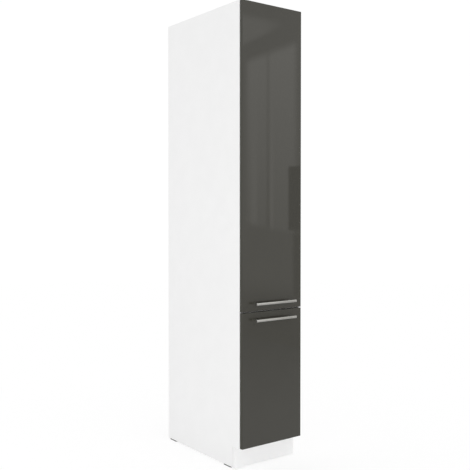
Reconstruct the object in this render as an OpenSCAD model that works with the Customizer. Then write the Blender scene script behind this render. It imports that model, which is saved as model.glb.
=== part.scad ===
// Pull-out larder unit: a tall, narrow cabinet with two gloss fronts. Each front draws out
// a frame of wire baskets on a pair of ball-bearing slides, steadied by a rail overhead.
// X runs across the cabinet, -Y towards the person who stands in front, +Z up.
// The origin is on the floor, in the middle of the width and of the depth.

/* [Cabinet] */
// Width over the two side panels
unit_w = 350; // [330:1:400]
// Height from the floor to the top of the cabinet
unit_h = 2100; // [2040:5:2300]
// Depth of the side panels
carcass_d = 600; // [590:1:660]
// Thickness of the sides, top, divider, bottom and plinth
board_t = 16; // [16:0.5:19]
// Thickness of the back sheets
back_t = 3; // [3:0.5:4]
// Distance from the rear edges of the sides to the back sheets
back_inset = 10; // [8:1:16]
// Depth of the grooves that hold the back sheets
groove_depth = 6; // [4:0.5:7]
// Height of the underside of the bottom panel
plinth_h = 100; // [80:1:130]
// How far the plinth stands behind the front edges of the sides
plinth_setback = 50; // [40:1:70]

/* [Fronts] */
// Thickness of the two fronts
front_t = 18; // [16:0.5:22]
// Height of the lower front
lower_front_h = 608; // [590:1:640]
// Gap between the two fronts
front_gap = 4; // [2:0.5:6]
// How far a front stays inside the cabinet's outline at each side
side_reveal = 2; // [1:0.5:4]
// How far the upper front stays below the cabinet's top
top_reveal = 2; // [0:0.5:4]
// Height of the lower front's bottom edge above the bottom panel's underside
bottom_reveal = 3; // [0:0.5:6]
// Radius of the rounded edges of the fronts
front_edge_r = 1.5; // [0.5:0.25:3]
// Gap between the fronts and the cabinet, filled by the buffers
buffer_gap = 2; // [2:0.25:3]
// Diameter of the rubber buffers
buffer_d = 9; // [6:0.5:12]

/* [Handles] */
// Length of the handle bars
handle_len = 234; // [214:1:300]
// Diameter of the handle bars
handle_d = 12; // [10:0.5:16]
// Distance from the front to the middle of the bar
handle_standoff = 30; // [26:1:40]
// Distance between the two posts of a handle
handle_post_span = 192; // [160:32:192]
// Diameter of the handle posts
handle_post_d = 8; // [8:0.5:9]
// Height of a bar's middle above or below the nearest edge of its front
handle_inset = 35; // [30:1:60]

/* [Slides] */
// Length of the ball-bearing slides
slide_len = 500; // [450:10:500]
// Height of a slide
slide_h = 45; // [44:0.5:47]
// Width of a slide
slide_w = 12.7; // [12.5:0.1:13]
// Length of a slide that stays engaged when it is fully out
slide_reserve = 20; // [15:1:40]
// Diameter of the balls
ball_d = 4; // [3.8:0.1:4.2]
// Thickness of the sheet that the slide members are rolled from
rail_t = 1.2; // [1:0.1:1.3]
// Distance between the two base flanges that carry a pair of slides
base_inner_w = 106; // [100:1:120]
// Height of the base flanges
base_h = 50; // [50:1:55]
// Thickness of the base bracket and the carriage
sheet_t = 2; // [1.5:0.1:2.2]

/* [Baskets] */
// Height of a basket
basket_h = 105; // [90:1:120]
// Clearance between the baskets and the side panels
basket_side_clear = 14; // [10:1:25]
// Corner radius of the baskets
basket_r = 30; // [20:1:40]
// Diameter of the wire loops round a basket
loop_d = 5; // [4.5:0.25:6]
// Diameter of the upright wires of a basket
stave_d = 4; // [3:0.25:4.5]
// Diameter of the floor wires of a basket
floor_wire_d = 3; // [2.5:0.25:3.5]
// Distance between the floor wires
floor_pitch = 26; // [22:1:34]

/* [Frame] */
// Width of the uprights and the top bar
upright_w = 30; // [26:1:36]
// Depth of the uprights
upright_d = 18; // [16:1:22]
// Wall of the uprights and the top bar
upright_t = 1.5; // [1.2:0.1:2]
// Height of the top bar
bar_h = 15; // [12:1:20]
// Distance between the hook slots of the uprights
slot_pitch = 35; // [32:1:35]
// Diameter of the guide rollers
roller_d = 18; // [16:0.5:20]
// Height of the guide rollers
roller_h = 10; // [8:0.5:10]

/* [Hidden] */
$fn = 48;

// Colours
white_board = [0.94, 0.94, 0.94];
gloss_grey = [0.29, 0.29, 0.28];
satin_steel = [0.66, 0.66, 0.65];
silver_coat = [0.60, 0.61, 0.62];
zinc = [0.72, 0.73, 0.74];
chrome = [0.85, 0.86, 0.88];

// Clearances
fit = 0.05;         // round a dowel, pin or screw in its hole
seat = 0.1;         // between pieces that slide together or nearly touch
groove_clear = 0.3; // round the back sheets in their grooves
cut = 1;            // how far a cutting solid reaches past the face it opens

// The depth, from the handle's outermost point to the rear edges of the sides
handle_reach = handle_standoff + handle_d / 2;
total_d = handle_reach + front_t + buffer_gap + carcass_d;
face_y = handle_reach - total_d / 2;
front_rear_y = face_y + front_t;
case_y0 = front_rear_y + buffer_gap;
case_y1 = case_y0 + carcass_d;
inner_w = unit_w - 2 * board_t;
back_y1 = case_y1 - back_inset;
back_y0 = back_y1 - back_t;

// The heights
glide_h = 5;
lower_front_z = plinth_h + bottom_reveal;
split_z = lower_front_z + lower_front_h + front_gap / 2;
upper_front_z = split_z + front_gap / 2;
upper_front_h = unit_h - top_reveal - upper_front_z;
divider_z = split_z - board_t / 2;
lower_floor_z = plinth_h + board_t;
upper_floor_z = divider_z + board_t;
lower_ceiling_z = divider_z;
upper_ceiling_z = unit_h - board_t;
front_w = unit_w - 2 * side_reveal;

// Connectors between the boards: a cam lock with its bolt, and a dowel beside it
connector_inset = 50;
dowel_step = 32;
dowel_d = 8;
dowel_len = 30;
dowel_in_side = 11;
blind_extra = 1;    // how much deeper a hole is than the piece in it
cam_d = 15;
cam_reach = 24;
cam_below = 4.5;
cam_h = board_t / 2 + cam_below;
cam_bolt_thread_d = 5;
cam_bolt_thread_len = 10.5;
cam_bolt_shank_d = 6;
cam_bolt_neck_d = 4;
cam_bolt_neck_len = 6;
cam_bolt_head_d = 6.5;
cam_bolt_head_len = 3;
cam_cross_l = 10;
cam_cross_w = 1.6;
cam_cross_depth = 1;
cam_room = 1;       // how much wider a cam's cavities are than the bolt in them
connector_ys = [case_y0 + connector_inset, back_y0 - connector_inset];
connector_turns = [1, -1];      // which way the dowel lies from its cam
shelf_zs = [plinth_h, divider_z, unit_h - board_t];
shelf_cam_up = [false, false, true];
plinth_y0 = case_y0 + plinth_setback;
plinth_dowel_zs = [glide_h + 25, plinth_h - 25];

// Screws
screw_head_h = 1.8;
back_screw_d = 3;
back_screw_len = 12;
back_screw_head_d = 6;
back_screw_xs = [-100, 0, 100];
sheet_joint_gap = 1;
sheet_screw_shift = 4;
rail_screw_d = 4;
rail_screw_len = 12;
rail_screw_head_d = 8;
frame_screw_d = 5;
frame_screw_head_d = 9;
frame_screw_head_h = 2.5;
wood_screw_d = 3.5;
plate_screw_depth = 13;
handle_thread = 10;
ear_screw_past = 3; // how far the screws in the uprights reach past the sheets they join
foot_screw_past = 4;
cross_w = 0.8;      // of the slots of a screw's cross recess
cross_share = 0.6;  // their length, as a share of the head's diameter
cross_floor = 0.45; // their floor, as a share of the head's height

// Glides under the sides
glide_l = 60;
glide_w = 14;
glide_front_inset = 85;
glide_rear_inset = 10;
glide_ys = [face_y + glide_front_inset, case_y1 - glide_rear_inset - glide_l];
glide_pin_d = 6;
glide_pin_len = 12;

// Wall brackets on the top panel
bracket_w = 30;
bracket_x = 100;
bracket_foot = 60;
bracket_leg = 26;
bracket_t = 2;
bracket_bend_r = 3;
wall_hole_d = 6;
wall_hole_up = 14;
bracket_screw_insets = [48, 28];
bracket_screw_ys = [for (inset = bracket_screw_insets) case_y1 - inset];

// Buffers, and the sockets and chamfers of the handles
buffer_inset = 25;
buffer_zs = [
    lower_front_z + buffer_inset, lower_front_z + lower_front_h - buffer_inset,
    upper_front_z + buffer_inset, upper_front_z + upper_front_h - buffer_inset
];
post_socket = 3;
handle_chamfer = 0.7;
bar_y = face_y - handle_standoff;
post_y0 = bar_y + handle_d / 2 - post_socket;
lower_handle_z = lower_front_z + lower_front_h - handle_inset;
upper_handle_z = upper_front_z + handle_inset;

// Slides: u runs inward from the base flange, v up and down from the slide's middle
base_half = base_inner_w / 2;
slide_y0 = case_y0 + 10;
slide_lift = 26;    // from the panel to the slides' middle
slide_travel = slide_len - slide_reserve;
base_screw_inset = 30;
base_screw_x = 25;
base_screw_ys = [
    slide_y0 + base_screw_inset, slide_y0 + slide_len / 2, slide_y0 + slide_len - base_screw_inset
];
race_gap = 2.4;     // between two members' lips, where the balls run
race_clear = 0.1;
web_gap = 1.1;
outer_lip_t = 2.1;
mid_lip_t = 3.2;
inner_lip_t = 2.8;
outer_v = slide_h / 2;
mid_v = outer_v - outer_lip_t - race_gap;
inner_v = mid_v - mid_lip_t - race_gap;
outer_lip_u = 10;
mid_web_u = rail_t + web_gap;
mid_lip_u = 9.5;
inner_lip_u = mid_web_u + rail_t + web_gap;
ball_u = slide_w / 2;
outer_ball_v = mid_v + race_gap / 2;
inner_ball_v = inner_v + race_gap / 2;
cage_t = 0.4;
cage_strip_t = 0.6;
cage_strip_u = 9;
cage_margin = 5;    // from a cage's end to the members' ends when the slide is fully out
cage_len = slide_len - slide_travel / 2 - 2 * cage_margin;
cage_setback = slide_travel / 4 + cage_margin;
cage_ball_count = 10;
cage_end = 10;

// Carriage: a hat section between the inner rails
carriage_leg_x = base_half - slide_w;
carriage_wing = base_half - 3;
carriage_top = base_h + 5;
carriage_skirt = 6;
frame_y0 = face_y + 32;
frame_end_inset = 12;
frame_y1 = slide_y0 + slide_len - frame_end_inset;
carriage_screw_inset = 90;
carriage_screw_ys = [
    frame_y0 + carriage_screw_inset, (frame_y0 + frame_y1) / 2, frame_y1 - carriage_screw_inset
];

// Uprights, top bar, guide rail and rollers
foot_w = 60;
foot_l = 40;
foot_t = 3;
foot_screw_x = 22;
foot_screw_inset = 9;
foot_ys = [frame_y0 + foot_l - foot_screw_inset, frame_y1 - foot_l + foot_screw_inset];
front_web_y = frame_y0 + upright_d;
rear_web_y = frame_y1 - upright_d;
guide_inner_w = roller_d + 1;
guide_t = 2;
guide_h = 22;
guide_y0 = case_y0 + 5;
guide_y1 = back_y0 - 22;
guide_screw_inset = 40;
guide_screw_ys = [guide_y0 + guide_screw_inset, (guide_y0 + guide_y1) / 2, guide_y1 - guide_screw_inset];
bar_drop = guide_h + 6;
bar_y1 = guide_y1 - 15;
roller_step = 25;
roller_ys = [bar_y1 - 15, bar_y1 - 15 - roller_step];
roller_shift = (guide_inner_w - roller_d) / 2 - fit;
roller_pin_d = 6;
roller_bore_d = roller_pin_d + 2 * fit;
roller_seat_d = 10;
roller_head_d = 9;
roller_head_h = 2;
roller_lift = 2;    // from the guide rail's lower edge to the roller's underside
roller_recess = 1.5;
roller_rim = 2;
roller_z = -guide_h + roller_lift;  // from a ceiling to its rollers' undersides
lower_carriage_z = lower_floor_z + carriage_top;
upper_carriage_z = upper_floor_z + carriage_top;
lower_bar_z = lower_ceiling_z - bar_drop - bar_h;
upper_bar_z = upper_ceiling_z - bar_drop - bar_h;

// Baskets and their hooks
basket_w = inner_w - 2 * basket_side_clear;
hook_t = 2;
hook_w = 44;
hook_tab_w = 14;
hook_tab_h = 2;
hook_lip = 5;
slot_w = hook_tab_w + 1;
slot_h = 10;
weld = 0.3;
basket_y0 = front_web_y + seat + hook_t - weld;
basket_y1 = rear_web_y - seat - hook_t + weld;
basket_l = basket_y1 - basket_y0;
support_d = 4;
support_xs = [-0.27, 0, 0.27];
stave_count = 5;
end_stave_x = 0.32;
basket_lift = 14;   // of the lowest basket above the carriage
first_slot = 30;    // from a basket's underside to its lower hook slot
hook_slots_apart = 1;
upper_basket_count = 4;
lower_basket_count = 2;

// Brackets between a front and its frame
plate_w = 160;
plate_h = 30;
plate_t = 2;
ear_t = 1.2;
ear_len = 24;
plate_screw_x = [-70, -40, 40, 70];
bracket_ends = 120; // from the frame's ends to the nearest bracket
ear_screw_y = frame_y0 + 7;
lower_bracket_zs = [lower_carriage_z + bracket_ends, lower_bar_z - bracket_ends];
upper_bracket_zs = [
    upper_carriage_z + bracket_ends, (upper_carriage_z + upper_bar_z) / 2, upper_bar_z - bracket_ends
];

// ---- Helpers ----

// Both halves of something symmetric about the middle plane
module both_sides() {
    children();
    mirror([1, 0, 0]) children();
}

// A profile drawn as X and Z, drawn out along +Y
module along_y(len) {
    translate([0, len, 0]) rotate([90, 0, 0]) linear_extrude(height = len) children();
}

// A profile drawn as Y and Z, drawn out along +X
module along_x(len) {
    rotate([90, 0, 90]) linear_extrude(height = len) children();
}

// A rod along +X, +Y or +Z
module rod_x(len, d) { rotate([0, 90, 0]) cylinder(d = d, h = len); }
module rod_y(len, d) { rotate([-90, 0, 0]) cylinder(d = d, h = len); }
module rod_z(len, d) { cylinder(d = d, h = len); }

// A box standing on its own place: widths x, y and z from a corner
module block(corner, size) { translate(corner) cube(size); }

// A rectangle with its two lower corners rounded
module round_bottom(w, h, r) {
    translate([-w / 2, r]) square([w, h - r]);
    translate([-w / 2 + r, 0]) square([w - 2 * r, r + cut / 10]);
    for (s = [-1, 1]) translate([s * (w / 2 - r), r]) circle(r = r);
}

// A channel of bent sheet, open at the top
module u_channel(w, h, t, r) {
    difference() {
        round_bottom(w, h, r);
        translate([0, t]) round_bottom(w - 2 * t, h, r - t);
    }
}

// A bent sheet angle: a foot along -X and a leg along +Y, with its outer corner at the origin
module angle_profile(foot, leg, t, r) {
    difference() {
        union() {
            translate([-foot, 0]) square([foot - r, t]);
            translate([-t, r]) square([t, leg - r]);
            intersection() {
                translate([-r, r]) circle(r = r);
                translate([-r, 0]) square([r, r]);
            }
        }
        translate([-r, r]) circle(r = r - t);
    }
}

// A pan-head screw along -Z with a cross in its head, whose underside is at z = 0
module pan_screw(d, len, head_d, head_h) {
    translate([0, 0, -len]) rod_z(len, d);
    difference() {
        rod_z(head_h, head_d);
        for (a = [0, 90]) rotate([0, 0, a])
            block([-head_d * cross_share / 2, -cross_w / 2, head_h * cross_floor],
                  [head_d * cross_share, cross_w, head_h]);
    }
}

// ---- Cabinet ----

// The left side panel, with its notch for the plinth, its groove and its drilled holes
module side_panel() {
    outline = [
        [case_y0, plinth_h], [case_y0, unit_h], [case_y1, unit_h],
        [case_y1, glide_h], [plinth_y0, glide_h], [plinth_y0, plinth_h]
    ];
    inner_x = -inner_w / 2;
    difference() {
        translate([-unit_w / 2, 0, 0]) along_x(board_t) polygon(outline);
        block([inner_x - groove_depth, back_y0 - groove_clear / 2, 0],
              [groove_depth + cut, back_t + groove_clear, unit_h + cut]);
        for (z = shelf_zs, i = [0, 1]) translate([inner_x, connector_ys[i], z + board_t / 2]) {
            translate([-cam_bolt_thread_len - blind_extra, 0, 0])
                rod_x(cam_bolt_thread_len + blind_extra + cut, cam_bolt_thread_d + 2 * fit);
            translate([-dowel_in_side - blind_extra, connector_turns[i] * dowel_step, 0])
                rod_x(dowel_in_side + blind_extra + cut, dowel_d + 2 * fit);
        }
        for (z = plinth_dowel_zs)
            translate([inner_x - dowel_in_side - blind_extra, plinth_y0 + board_t / 2, z])
                rod_x(dowel_in_side + blind_extra + cut, dowel_d + 2 * fit);
        for (y = glide_ys)
            translate([-unit_w / 2 + board_t / 2, y + glide_l / 2, glide_h - cut])
                rod_z(glide_pin_len + blind_extra + cut, glide_pin_d + 2 * fit);
    }
}

module side_panel_left() color(white_board) side_panel();
module side_panel_right() color(white_board) mirror([1, 0, 0]) side_panel();

// A board between the sides, with bores for the cam locks, their bolts and the dowels
module shelf_board(z, cam_up) {
    pocket_z = cam_up ? board_t - cam_h : -cut;
    difference() {
        block([-inner_w / 2, case_y0, z], [inner_w, back_y0 - case_y0, board_t]);
        both_sides() for (i = [0, 1]) translate([-inner_w / 2, connector_ys[i], z]) {
            translate([cam_reach, 0, pocket_z]) rod_z(cam_h + cut, cam_d);
            translate([-cut, 0, board_t / 2]) rod_x(cam_reach + cut, cam_bolt_shank_d + cam_room);
            translate([-cut, connector_turns[i] * dowel_step, board_t / 2])
                rod_x(dowel_len - dowel_in_side + blind_extra + cut, dowel_d + 2 * fit);
        }
        for (x = back_screw_xs, zz = shelf_screw_zs(z))
            translate([x, back_y0 - back_screw_len - blind_extra, zz])
                rod_y(back_screw_len + blind_extra + cut, back_screw_d + 2 * fit);
        rail_screw_holes(z);
    }
}

// Heights of the back screws that go into the board at z
function shelf_screw_zs(z) =
    z == divider_z ? [split_z - sheet_screw_shift, split_z + sheet_screw_shift]
                   : [z + board_t / 2];

// Pilot holes in the board at z for what is screwed on it and under it
module rail_screw_holes(z) {
    depth = rail_screw_len + blind_extra;
    if (z + board_t != unit_h)
        both_sides() for (y = base_screw_ys)
            translate([base_screw_x, y, z + board_t + sheet_t - depth])
                rod_z(depth, rail_screw_d + 2 * fit);
    if (z != plinth_h)
        for (y = guide_screw_ys) translate([0, y, z - guide_t]) rod_z(depth, rail_screw_d + 2 * fit);
    if (z + board_t == unit_h)
        for (x = [-bracket_x, bracket_x], y = bracket_screw_ys)
            translate([x, y, unit_h + bracket_t - depth]) rod_z(depth, rail_screw_d + 2 * fit);
}

module bottom_panel() color(white_board) shelf_board(shelf_zs[0], shelf_cam_up[0]);
module divider_panel() color(white_board) shelf_board(shelf_zs[1], shelf_cam_up[1]);
module top_panel() color(white_board) shelf_board(shelf_zs[2], shelf_cam_up[2]);

// A back sheet held in the grooves of the sides
module back_sheet(z0, z1) {
    sheet_w = inner_w + 2 * groove_depth - groove_clear;
    difference() {
        block([-sheet_w / 2, back_y0, z0], [sheet_w, back_t, z1 - z0]);
        for (shelf = shelf_zs, z = shelf_screw_zs(shelf), x = back_screw_xs)
            if (z > z0 && z < z1)
                translate([x, back_y0 - cut, z]) rod_y(back_t + 2 * cut, back_screw_d + 2 * seat);
    }
}

module back_panel_lower() color(white_board) back_sheet(plinth_h, split_z - sheet_joint_gap / 2);
module back_panel_upper() color(white_board) back_sheet(split_z + sheet_joint_gap / 2, unit_h);

module plinth_board() color(white_board) difference() {
    block([-inner_w / 2, plinth_y0, glide_h], [inner_w, board_t, plinth_h - glide_h]);
    both_sides() for (z = plinth_dowel_zs)
        translate([-inner_w / 2 - cut, plinth_y0 + board_t / 2, z])
            rod_x(dowel_len - dowel_in_side + blind_extra + cut, dowel_d + 2 * fit);
}

// Moulded glides pinned under the sides, with slightly rounded ends
module floor_glides() color([0.1, 0.1, 0.1])
    both_sides() for (y = glide_ys)
        translate([-unit_w / 2 + board_t / 2, y, 0]) {
            translate([-glide_w / 2, glide_w / 2, 0]) cube([glide_w, glide_l - glide_w, glide_h]);
            for (end_y = [glide_w / 2, glide_l - glide_w / 2])
                translate([0, end_y, 0]) rod_z(glide_h, glide_w);
            translate([0, glide_l / 2, glide_h - cut]) rod_z(glide_pin_len + cut, glide_pin_d);
        }

// One cam lock lying in its pocket: the bolt comes in along -X, the drive cross is on top
module cam_lock() {
    bolt_z = cam_h - board_t / 2;
    difference() {
        rod_z(cam_h - seat, cam_d - 2 * seat);
        translate([-cam_d, 0, bolt_z]) rod_x(cam_d, cam_bolt_neck_d + cam_room);
        translate([-(cam_bolt_head_d + cam_room) / 2, 0, bolt_z])
            rod_x(cam_bolt_head_d + cam_room, cam_bolt_head_d + cam_room);
        for (a = [0, 90]) rotate([0, 0, a])
            block([-cam_cross_l / 2, -cam_cross_w / 2, cam_h - seat - cam_cross_depth],
                  [cam_cross_l, cam_cross_w, 2 * cam_cross_depth]);
    }
}

module cam_locks() color(zinc)
    for (k = [0:2]) both_sides() for (y = connector_ys)
        translate([-inner_w / 2 + cam_reach, y, shelf_zs[k] + board_t / 2])
            mirror([0, 0, shelf_cam_up[k] ? 0 : 1])
                translate([0, 0, board_t / 2 - cam_h]) cam_lock();

// One cam bolt: thread in the side panel, shank in the board, head in the cam lock
module cam_bolt() {
    neck_x = cam_reach + cam_bolt_head_len / 2 - cam_bolt_head_len - cam_bolt_neck_len;
    translate([-cam_bolt_thread_len, 0, 0]) rod_x(cam_bolt_thread_len, cam_bolt_thread_d);
    rod_x(neck_x, cam_bolt_shank_d);
    translate([neck_x, 0, 0]) rod_x(cam_bolt_neck_len, cam_bolt_neck_d);
    translate([neck_x + cam_bolt_neck_len, 0, 0]) rod_x(cam_bolt_head_len, cam_bolt_head_d);
}

module cam_bolts() color(zinc)
    for (z = shelf_zs) both_sides() for (y = connector_ys)
        translate([-inner_w / 2, y, z + board_t / 2]) cam_bolt();

module wood_dowels() color([0.82, 0.66, 0.45]) {
    for (z = shelf_zs) both_sides() for (i = [0, 1])
        translate([-inner_w / 2 - dowel_in_side, connector_ys[i] + connector_turns[i] * dowel_step,
                   z + board_t / 2]) rod_x(dowel_len, dowel_d);
    both_sides() for (z = plinth_dowel_zs)
        translate([-inner_w / 2 - dowel_in_side, plinth_y0 + board_t / 2, z]) rod_x(dowel_len, dowel_d);
}

module back_screws() color(zinc)
    for (shelf = shelf_zs, z = shelf_screw_zs(shelf), x = back_screw_xs)
        translate([x, back_y1, z]) rotate([-90, 0, 0])
            pan_screw(back_screw_d, back_t + back_screw_len, back_screw_head_d, screw_head_h);

// Angles on the top panel, with a hole for a screw into the wall behind
module wall_brackets() color(zinc)
    for (x = [-bracket_x, bracket_x]) difference() {
        translate([x - bracket_w / 2, case_y1, unit_h])
            along_x(bracket_w) angle_profile(bracket_foot, bracket_leg, bracket_t, bracket_bend_r);
        translate([x, case_y1 - bracket_t - cut, unit_h + wall_hole_up])
            rod_y(bracket_t + 2 * cut, wall_hole_d);
        for (y = bracket_screw_ys)
            translate([x, y, unit_h - cut]) rod_z(bracket_t + 2 * cut, rail_screw_d + 1);
    }

// Rubber buffers on the front edges of the sides, near each front's corners
module front_buffers() color([0.85, 0.85, 0.83])
    both_sides() for (z = buffer_zs)
        translate([-unit_w / 2 + board_t / 2, case_y0 - buffer_gap + seat, z])
            rod_y(buffer_gap - seat, buffer_d);

// ---- Fixed parts of the pull-outs ----

// A channel on the floor of a compartment, whose flanges hold the slides
module slide_base(floor_z) difference() {
    translate([0, slide_y0, floor_z])
        along_y(slide_len) u_channel(base_inner_w + 2 * sheet_t, base_h, sheet_t, sheet_t + 1);
    both_sides() for (y = base_screw_ys)
        translate([base_screw_x, y, floor_z - cut]) rod_z(sheet_t + 2 * cut, rail_screw_d + 1);
}

module lower_slide_base() color(zinc) slide_base(lower_floor_z);
module upper_slide_base() color(zinc) slide_base(upper_floor_z);

// Slide members seen from the front, on the left flange: X is u, Y is v
module races(u, v) { for (s = [-1, 1]) translate([u, s * v]) circle(d = ball_d + 2 * race_clear); }

module outer_rail_profile() difference() {
    union() {
        translate([0, -outer_v]) square([rail_t, slide_h]);
        for (s = [-1, 1]) translate([0, s * (outer_v - outer_lip_t / 2) - outer_lip_t / 2])
            square([outer_lip_u, outer_lip_t]);
    }
    races(ball_u, outer_ball_v);
}

module mid_rail_profile() difference() {
    union() {
        translate([mid_web_u, -mid_v]) square([rail_t, 2 * mid_v]);
        for (s = [-1, 1]) translate([mid_web_u, s * (mid_v - mid_lip_t / 2) - mid_lip_t / 2])
            square([mid_lip_u - mid_web_u, mid_lip_t]);
    }
    races(ball_u, outer_ball_v);
    races(ball_u, inner_ball_v);
}

module inner_rail_profile() difference() {
    union() {
        translate([slide_w - rail_t, -inner_v]) square([rail_t, 2 * inner_v]);
        for (s = [-1, 1]) translate([inner_lip_u, s * (inner_v - inner_lip_t / 2) - inner_lip_t / 2])
            square([slide_w - inner_lip_u, inner_lip_t]);
    }
    races(ball_u, inner_ball_v);
}

// A pair of slide members, left and right, over the floor at floor_z
module rail_pair(floor_z) both_sides()
    translate([-base_half, slide_y0, floor_z + slide_lift]) children();

module outer_rails(floor_z) rail_pair(floor_z) along_y(slide_len) outer_rail_profile();
module mid_rails(floor_z) rail_pair(floor_z) along_y(slide_len) mid_rail_profile();

module inner_rails(floor_z) rail_pair(floor_z) difference() {
    along_y(slide_len) inner_rail_profile();
    for (y = carriage_screw_ys) translate([slide_w - rail_t - cut, y - slide_y0, 0])
        rod_x(rail_t + 2 * cut, rail_screw_d + 2 * seat);
}

// A ball cage: a sheet channel with two rows of balls, between webs at u0 and lips at v
module ball_cage(u0, v) {
    along_y(cage_len) {
        translate([u0, -v - cage_strip_t / 2]) square([cage_t, 2 * v + cage_strip_t]);
        for (s = [-1, 1]) translate([u0, s * v - cage_strip_t / 2])
            square([cage_strip_u - u0, cage_strip_t]);
    }
    ball_step = (cage_len - 2 * cage_end) / (cage_ball_count - 1);
    for (s = [-1, 1], i = [0 : cage_ball_count - 1])
        translate([ball_u, cage_end + i * ball_step, s * v]) sphere(d = ball_d);
}

module outer_cages(floor_z) rail_pair(floor_z) translate([0, cage_setback, 0])
    ball_cage(rail_t + (web_gap - cage_t) / 2, outer_ball_v);
module inner_cages(floor_z) rail_pair(floor_z) translate([0, cage_setback, 0])
    ball_cage(mid_web_u + rail_t + (web_gap - cage_t) / 2, inner_ball_v);

module lower_outer_rails() color(zinc) outer_rails(lower_floor_z);
module upper_outer_rails() color(zinc) outer_rails(upper_floor_z);
module lower_mid_rails() color(zinc) mid_rails(lower_floor_z);
module upper_mid_rails() color(zinc) mid_rails(upper_floor_z);
module lower_inner_rails() color(zinc) inner_rails(lower_floor_z);
module upper_inner_rails() color(zinc) inner_rails(upper_floor_z);
module lower_outer_cages() color(satin_steel) outer_cages(lower_floor_z);
module upper_outer_cages() color(satin_steel) outer_cages(upper_floor_z);
module lower_inner_cages() color(satin_steel) inner_cages(lower_floor_z);
module upper_inner_cages() color(satin_steel) inner_cages(upper_floor_z);

// A channel under the ceiling of a compartment, open downward, in which the rollers run
module guide_rail(ceiling_z) difference() {
    translate([0, guide_y0, ceiling_z]) mirror([0, 0, 1])
        along_y(guide_y1 - guide_y0) u_channel(guide_inner_w + 2 * guide_t, guide_h, guide_t, guide_t + 1);
    for (y = guide_screw_ys) translate([0, y, ceiling_z - guide_t - cut])
        rod_z(guide_t + 2 * cut, rail_screw_d + 1);
}

module lower_guide_rail() color(zinc) guide_rail(lower_ceiling_z);
module upper_guide_rail() color(zinc) guide_rail(upper_ceiling_z);

// Screws of the slide bases, the guide rails and the wall brackets
module rail_screws() color(zinc) {
    for (z = [lower_floor_z, upper_floor_z]) both_sides() for (y = base_screw_ys)
        translate([base_screw_x, y, z + sheet_t])
            pan_screw(rail_screw_d, rail_screw_len, rail_screw_head_d, screw_head_h);
    for (z = [lower_ceiling_z, upper_ceiling_z], y = guide_screw_ys)
        translate([0, y, z - guide_t]) mirror([0, 0, 1])
            pan_screw(rail_screw_d, rail_screw_len, rail_screw_head_d, screw_head_h);
    for (x = [-bracket_x, bracket_x], y = bracket_screw_ys)
        translate([x, y, unit_h + bracket_t])
            pan_screw(rail_screw_d, rail_screw_len, rail_screw_head_d, screw_head_h);
}

// ---- Fronts and handles ----

// A front with all its front edges rounded, drilled for its handle and brackets
module front_slab(z, h, handle_z, bracket_zs) difference() {
    intersection() {
        translate([0, 0, z]) linear_extrude(height = h)
            translate([0, face_y]) round_bottom(front_w, front_t, front_edge_r);
        translate([-front_w / 2, 0, 0]) along_x(front_w)
            translate([face_y, z + h / 2]) rotate([0, 0, -90]) round_bottom(h, front_t, front_edge_r);
    }
    for (x = [-1, 1]) translate([x * handle_post_span / 2, face_y - cut, handle_z])
        rod_y(front_t + 2 * cut, frame_screw_d);
    for (bz = bracket_zs, x = plate_screw_x) translate([x, front_rear_y - plate_screw_depth, bz])
        rod_y(plate_screw_depth + cut, wood_screw_d + 2 * fit);
}

// The round bar of a handle with its chamfered ends, and a flat-bottomed socket for each post
module handle_bar(z) {
    bar_r = handle_d / 2;
    end_r = bar_r - handle_chamfer;
    outline = [
        [0, 0], [end_r, 0], [bar_r, handle_chamfer],
        [bar_r, handle_len - handle_chamfer], [end_r, handle_len], [0, handle_len]
    ];
    difference() {
        translate([-handle_len / 2, bar_y, z]) rotate([0, 90, 0]) rotate_extrude() polygon(outline);
        for (x = [-1, 1]) translate([x * handle_post_span / 2, post_y0, z])
            rod_y(post_socket + cut, handle_post_d + 2 * fit);
    }
}

// The posts, each tapped at its foot for the screw through the front
module handle_posts(z) for (x = [-1, 1]) translate([x * handle_post_span / 2, 0, z]) difference() {
    translate([0, post_y0, 0]) rod_y(face_y - post_y0, handle_post_d);
    translate([0, face_y - handle_thread, 0]) rod_y(handle_thread + cut, rail_screw_d + 2 * fit);
}

module lower_front() color(gloss_grey)
    front_slab(lower_front_z, lower_front_h, lower_handle_z, lower_bracket_zs);
module upper_front() color(gloss_grey)
    front_slab(upper_front_z, upper_front_h, upper_handle_z, upper_bracket_zs);
module lower_handle_bar() color(satin_steel) handle_bar(lower_handle_z);
module upper_handle_bar() color(satin_steel) handle_bar(upper_handle_z);
module lower_handle_posts() color(satin_steel) handle_posts(lower_handle_z);
module upper_handle_posts() color(satin_steel) handle_posts(upper_handle_z);

// ---- Pull-out frames ----

// The hat-shaped carriage that joins the two inner rails and carries the uprights
module carriage(floor_z) difference() {
    translate([0, frame_y0, floor_z]) along_y(frame_y1 - frame_y0) {
        both_sides() translate([-carriage_leg_x, carriage_skirt])
            square([sheet_t, carriage_top - carriage_skirt]);
        translate([-carriage_wing, carriage_top - sheet_t]) square([2 * carriage_wing, sheet_t]);
    }
    both_sides() for (y = carriage_screw_ys) translate([-carriage_leg_x - cut, y, floor_z + slide_lift])
        rod_x(sheet_t + 2 * cut, rail_screw_d + 2 * seat);
    for (y = foot_ys) both_sides() translate([foot_screw_x, y, floor_z + carriage_top - sheet_t - cut])
        rod_z(sheet_t + 2 * cut, frame_screw_d + 2 * seat);
}

module lower_carriage() color(silver_coat) carriage(lower_floor_z);
module upper_carriage() color(silver_coat) carriage(upper_floor_z);

// Height of the lowest hook slot over a carriage at z
function slot_z(z) = z + basket_lift + first_slot;

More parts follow.
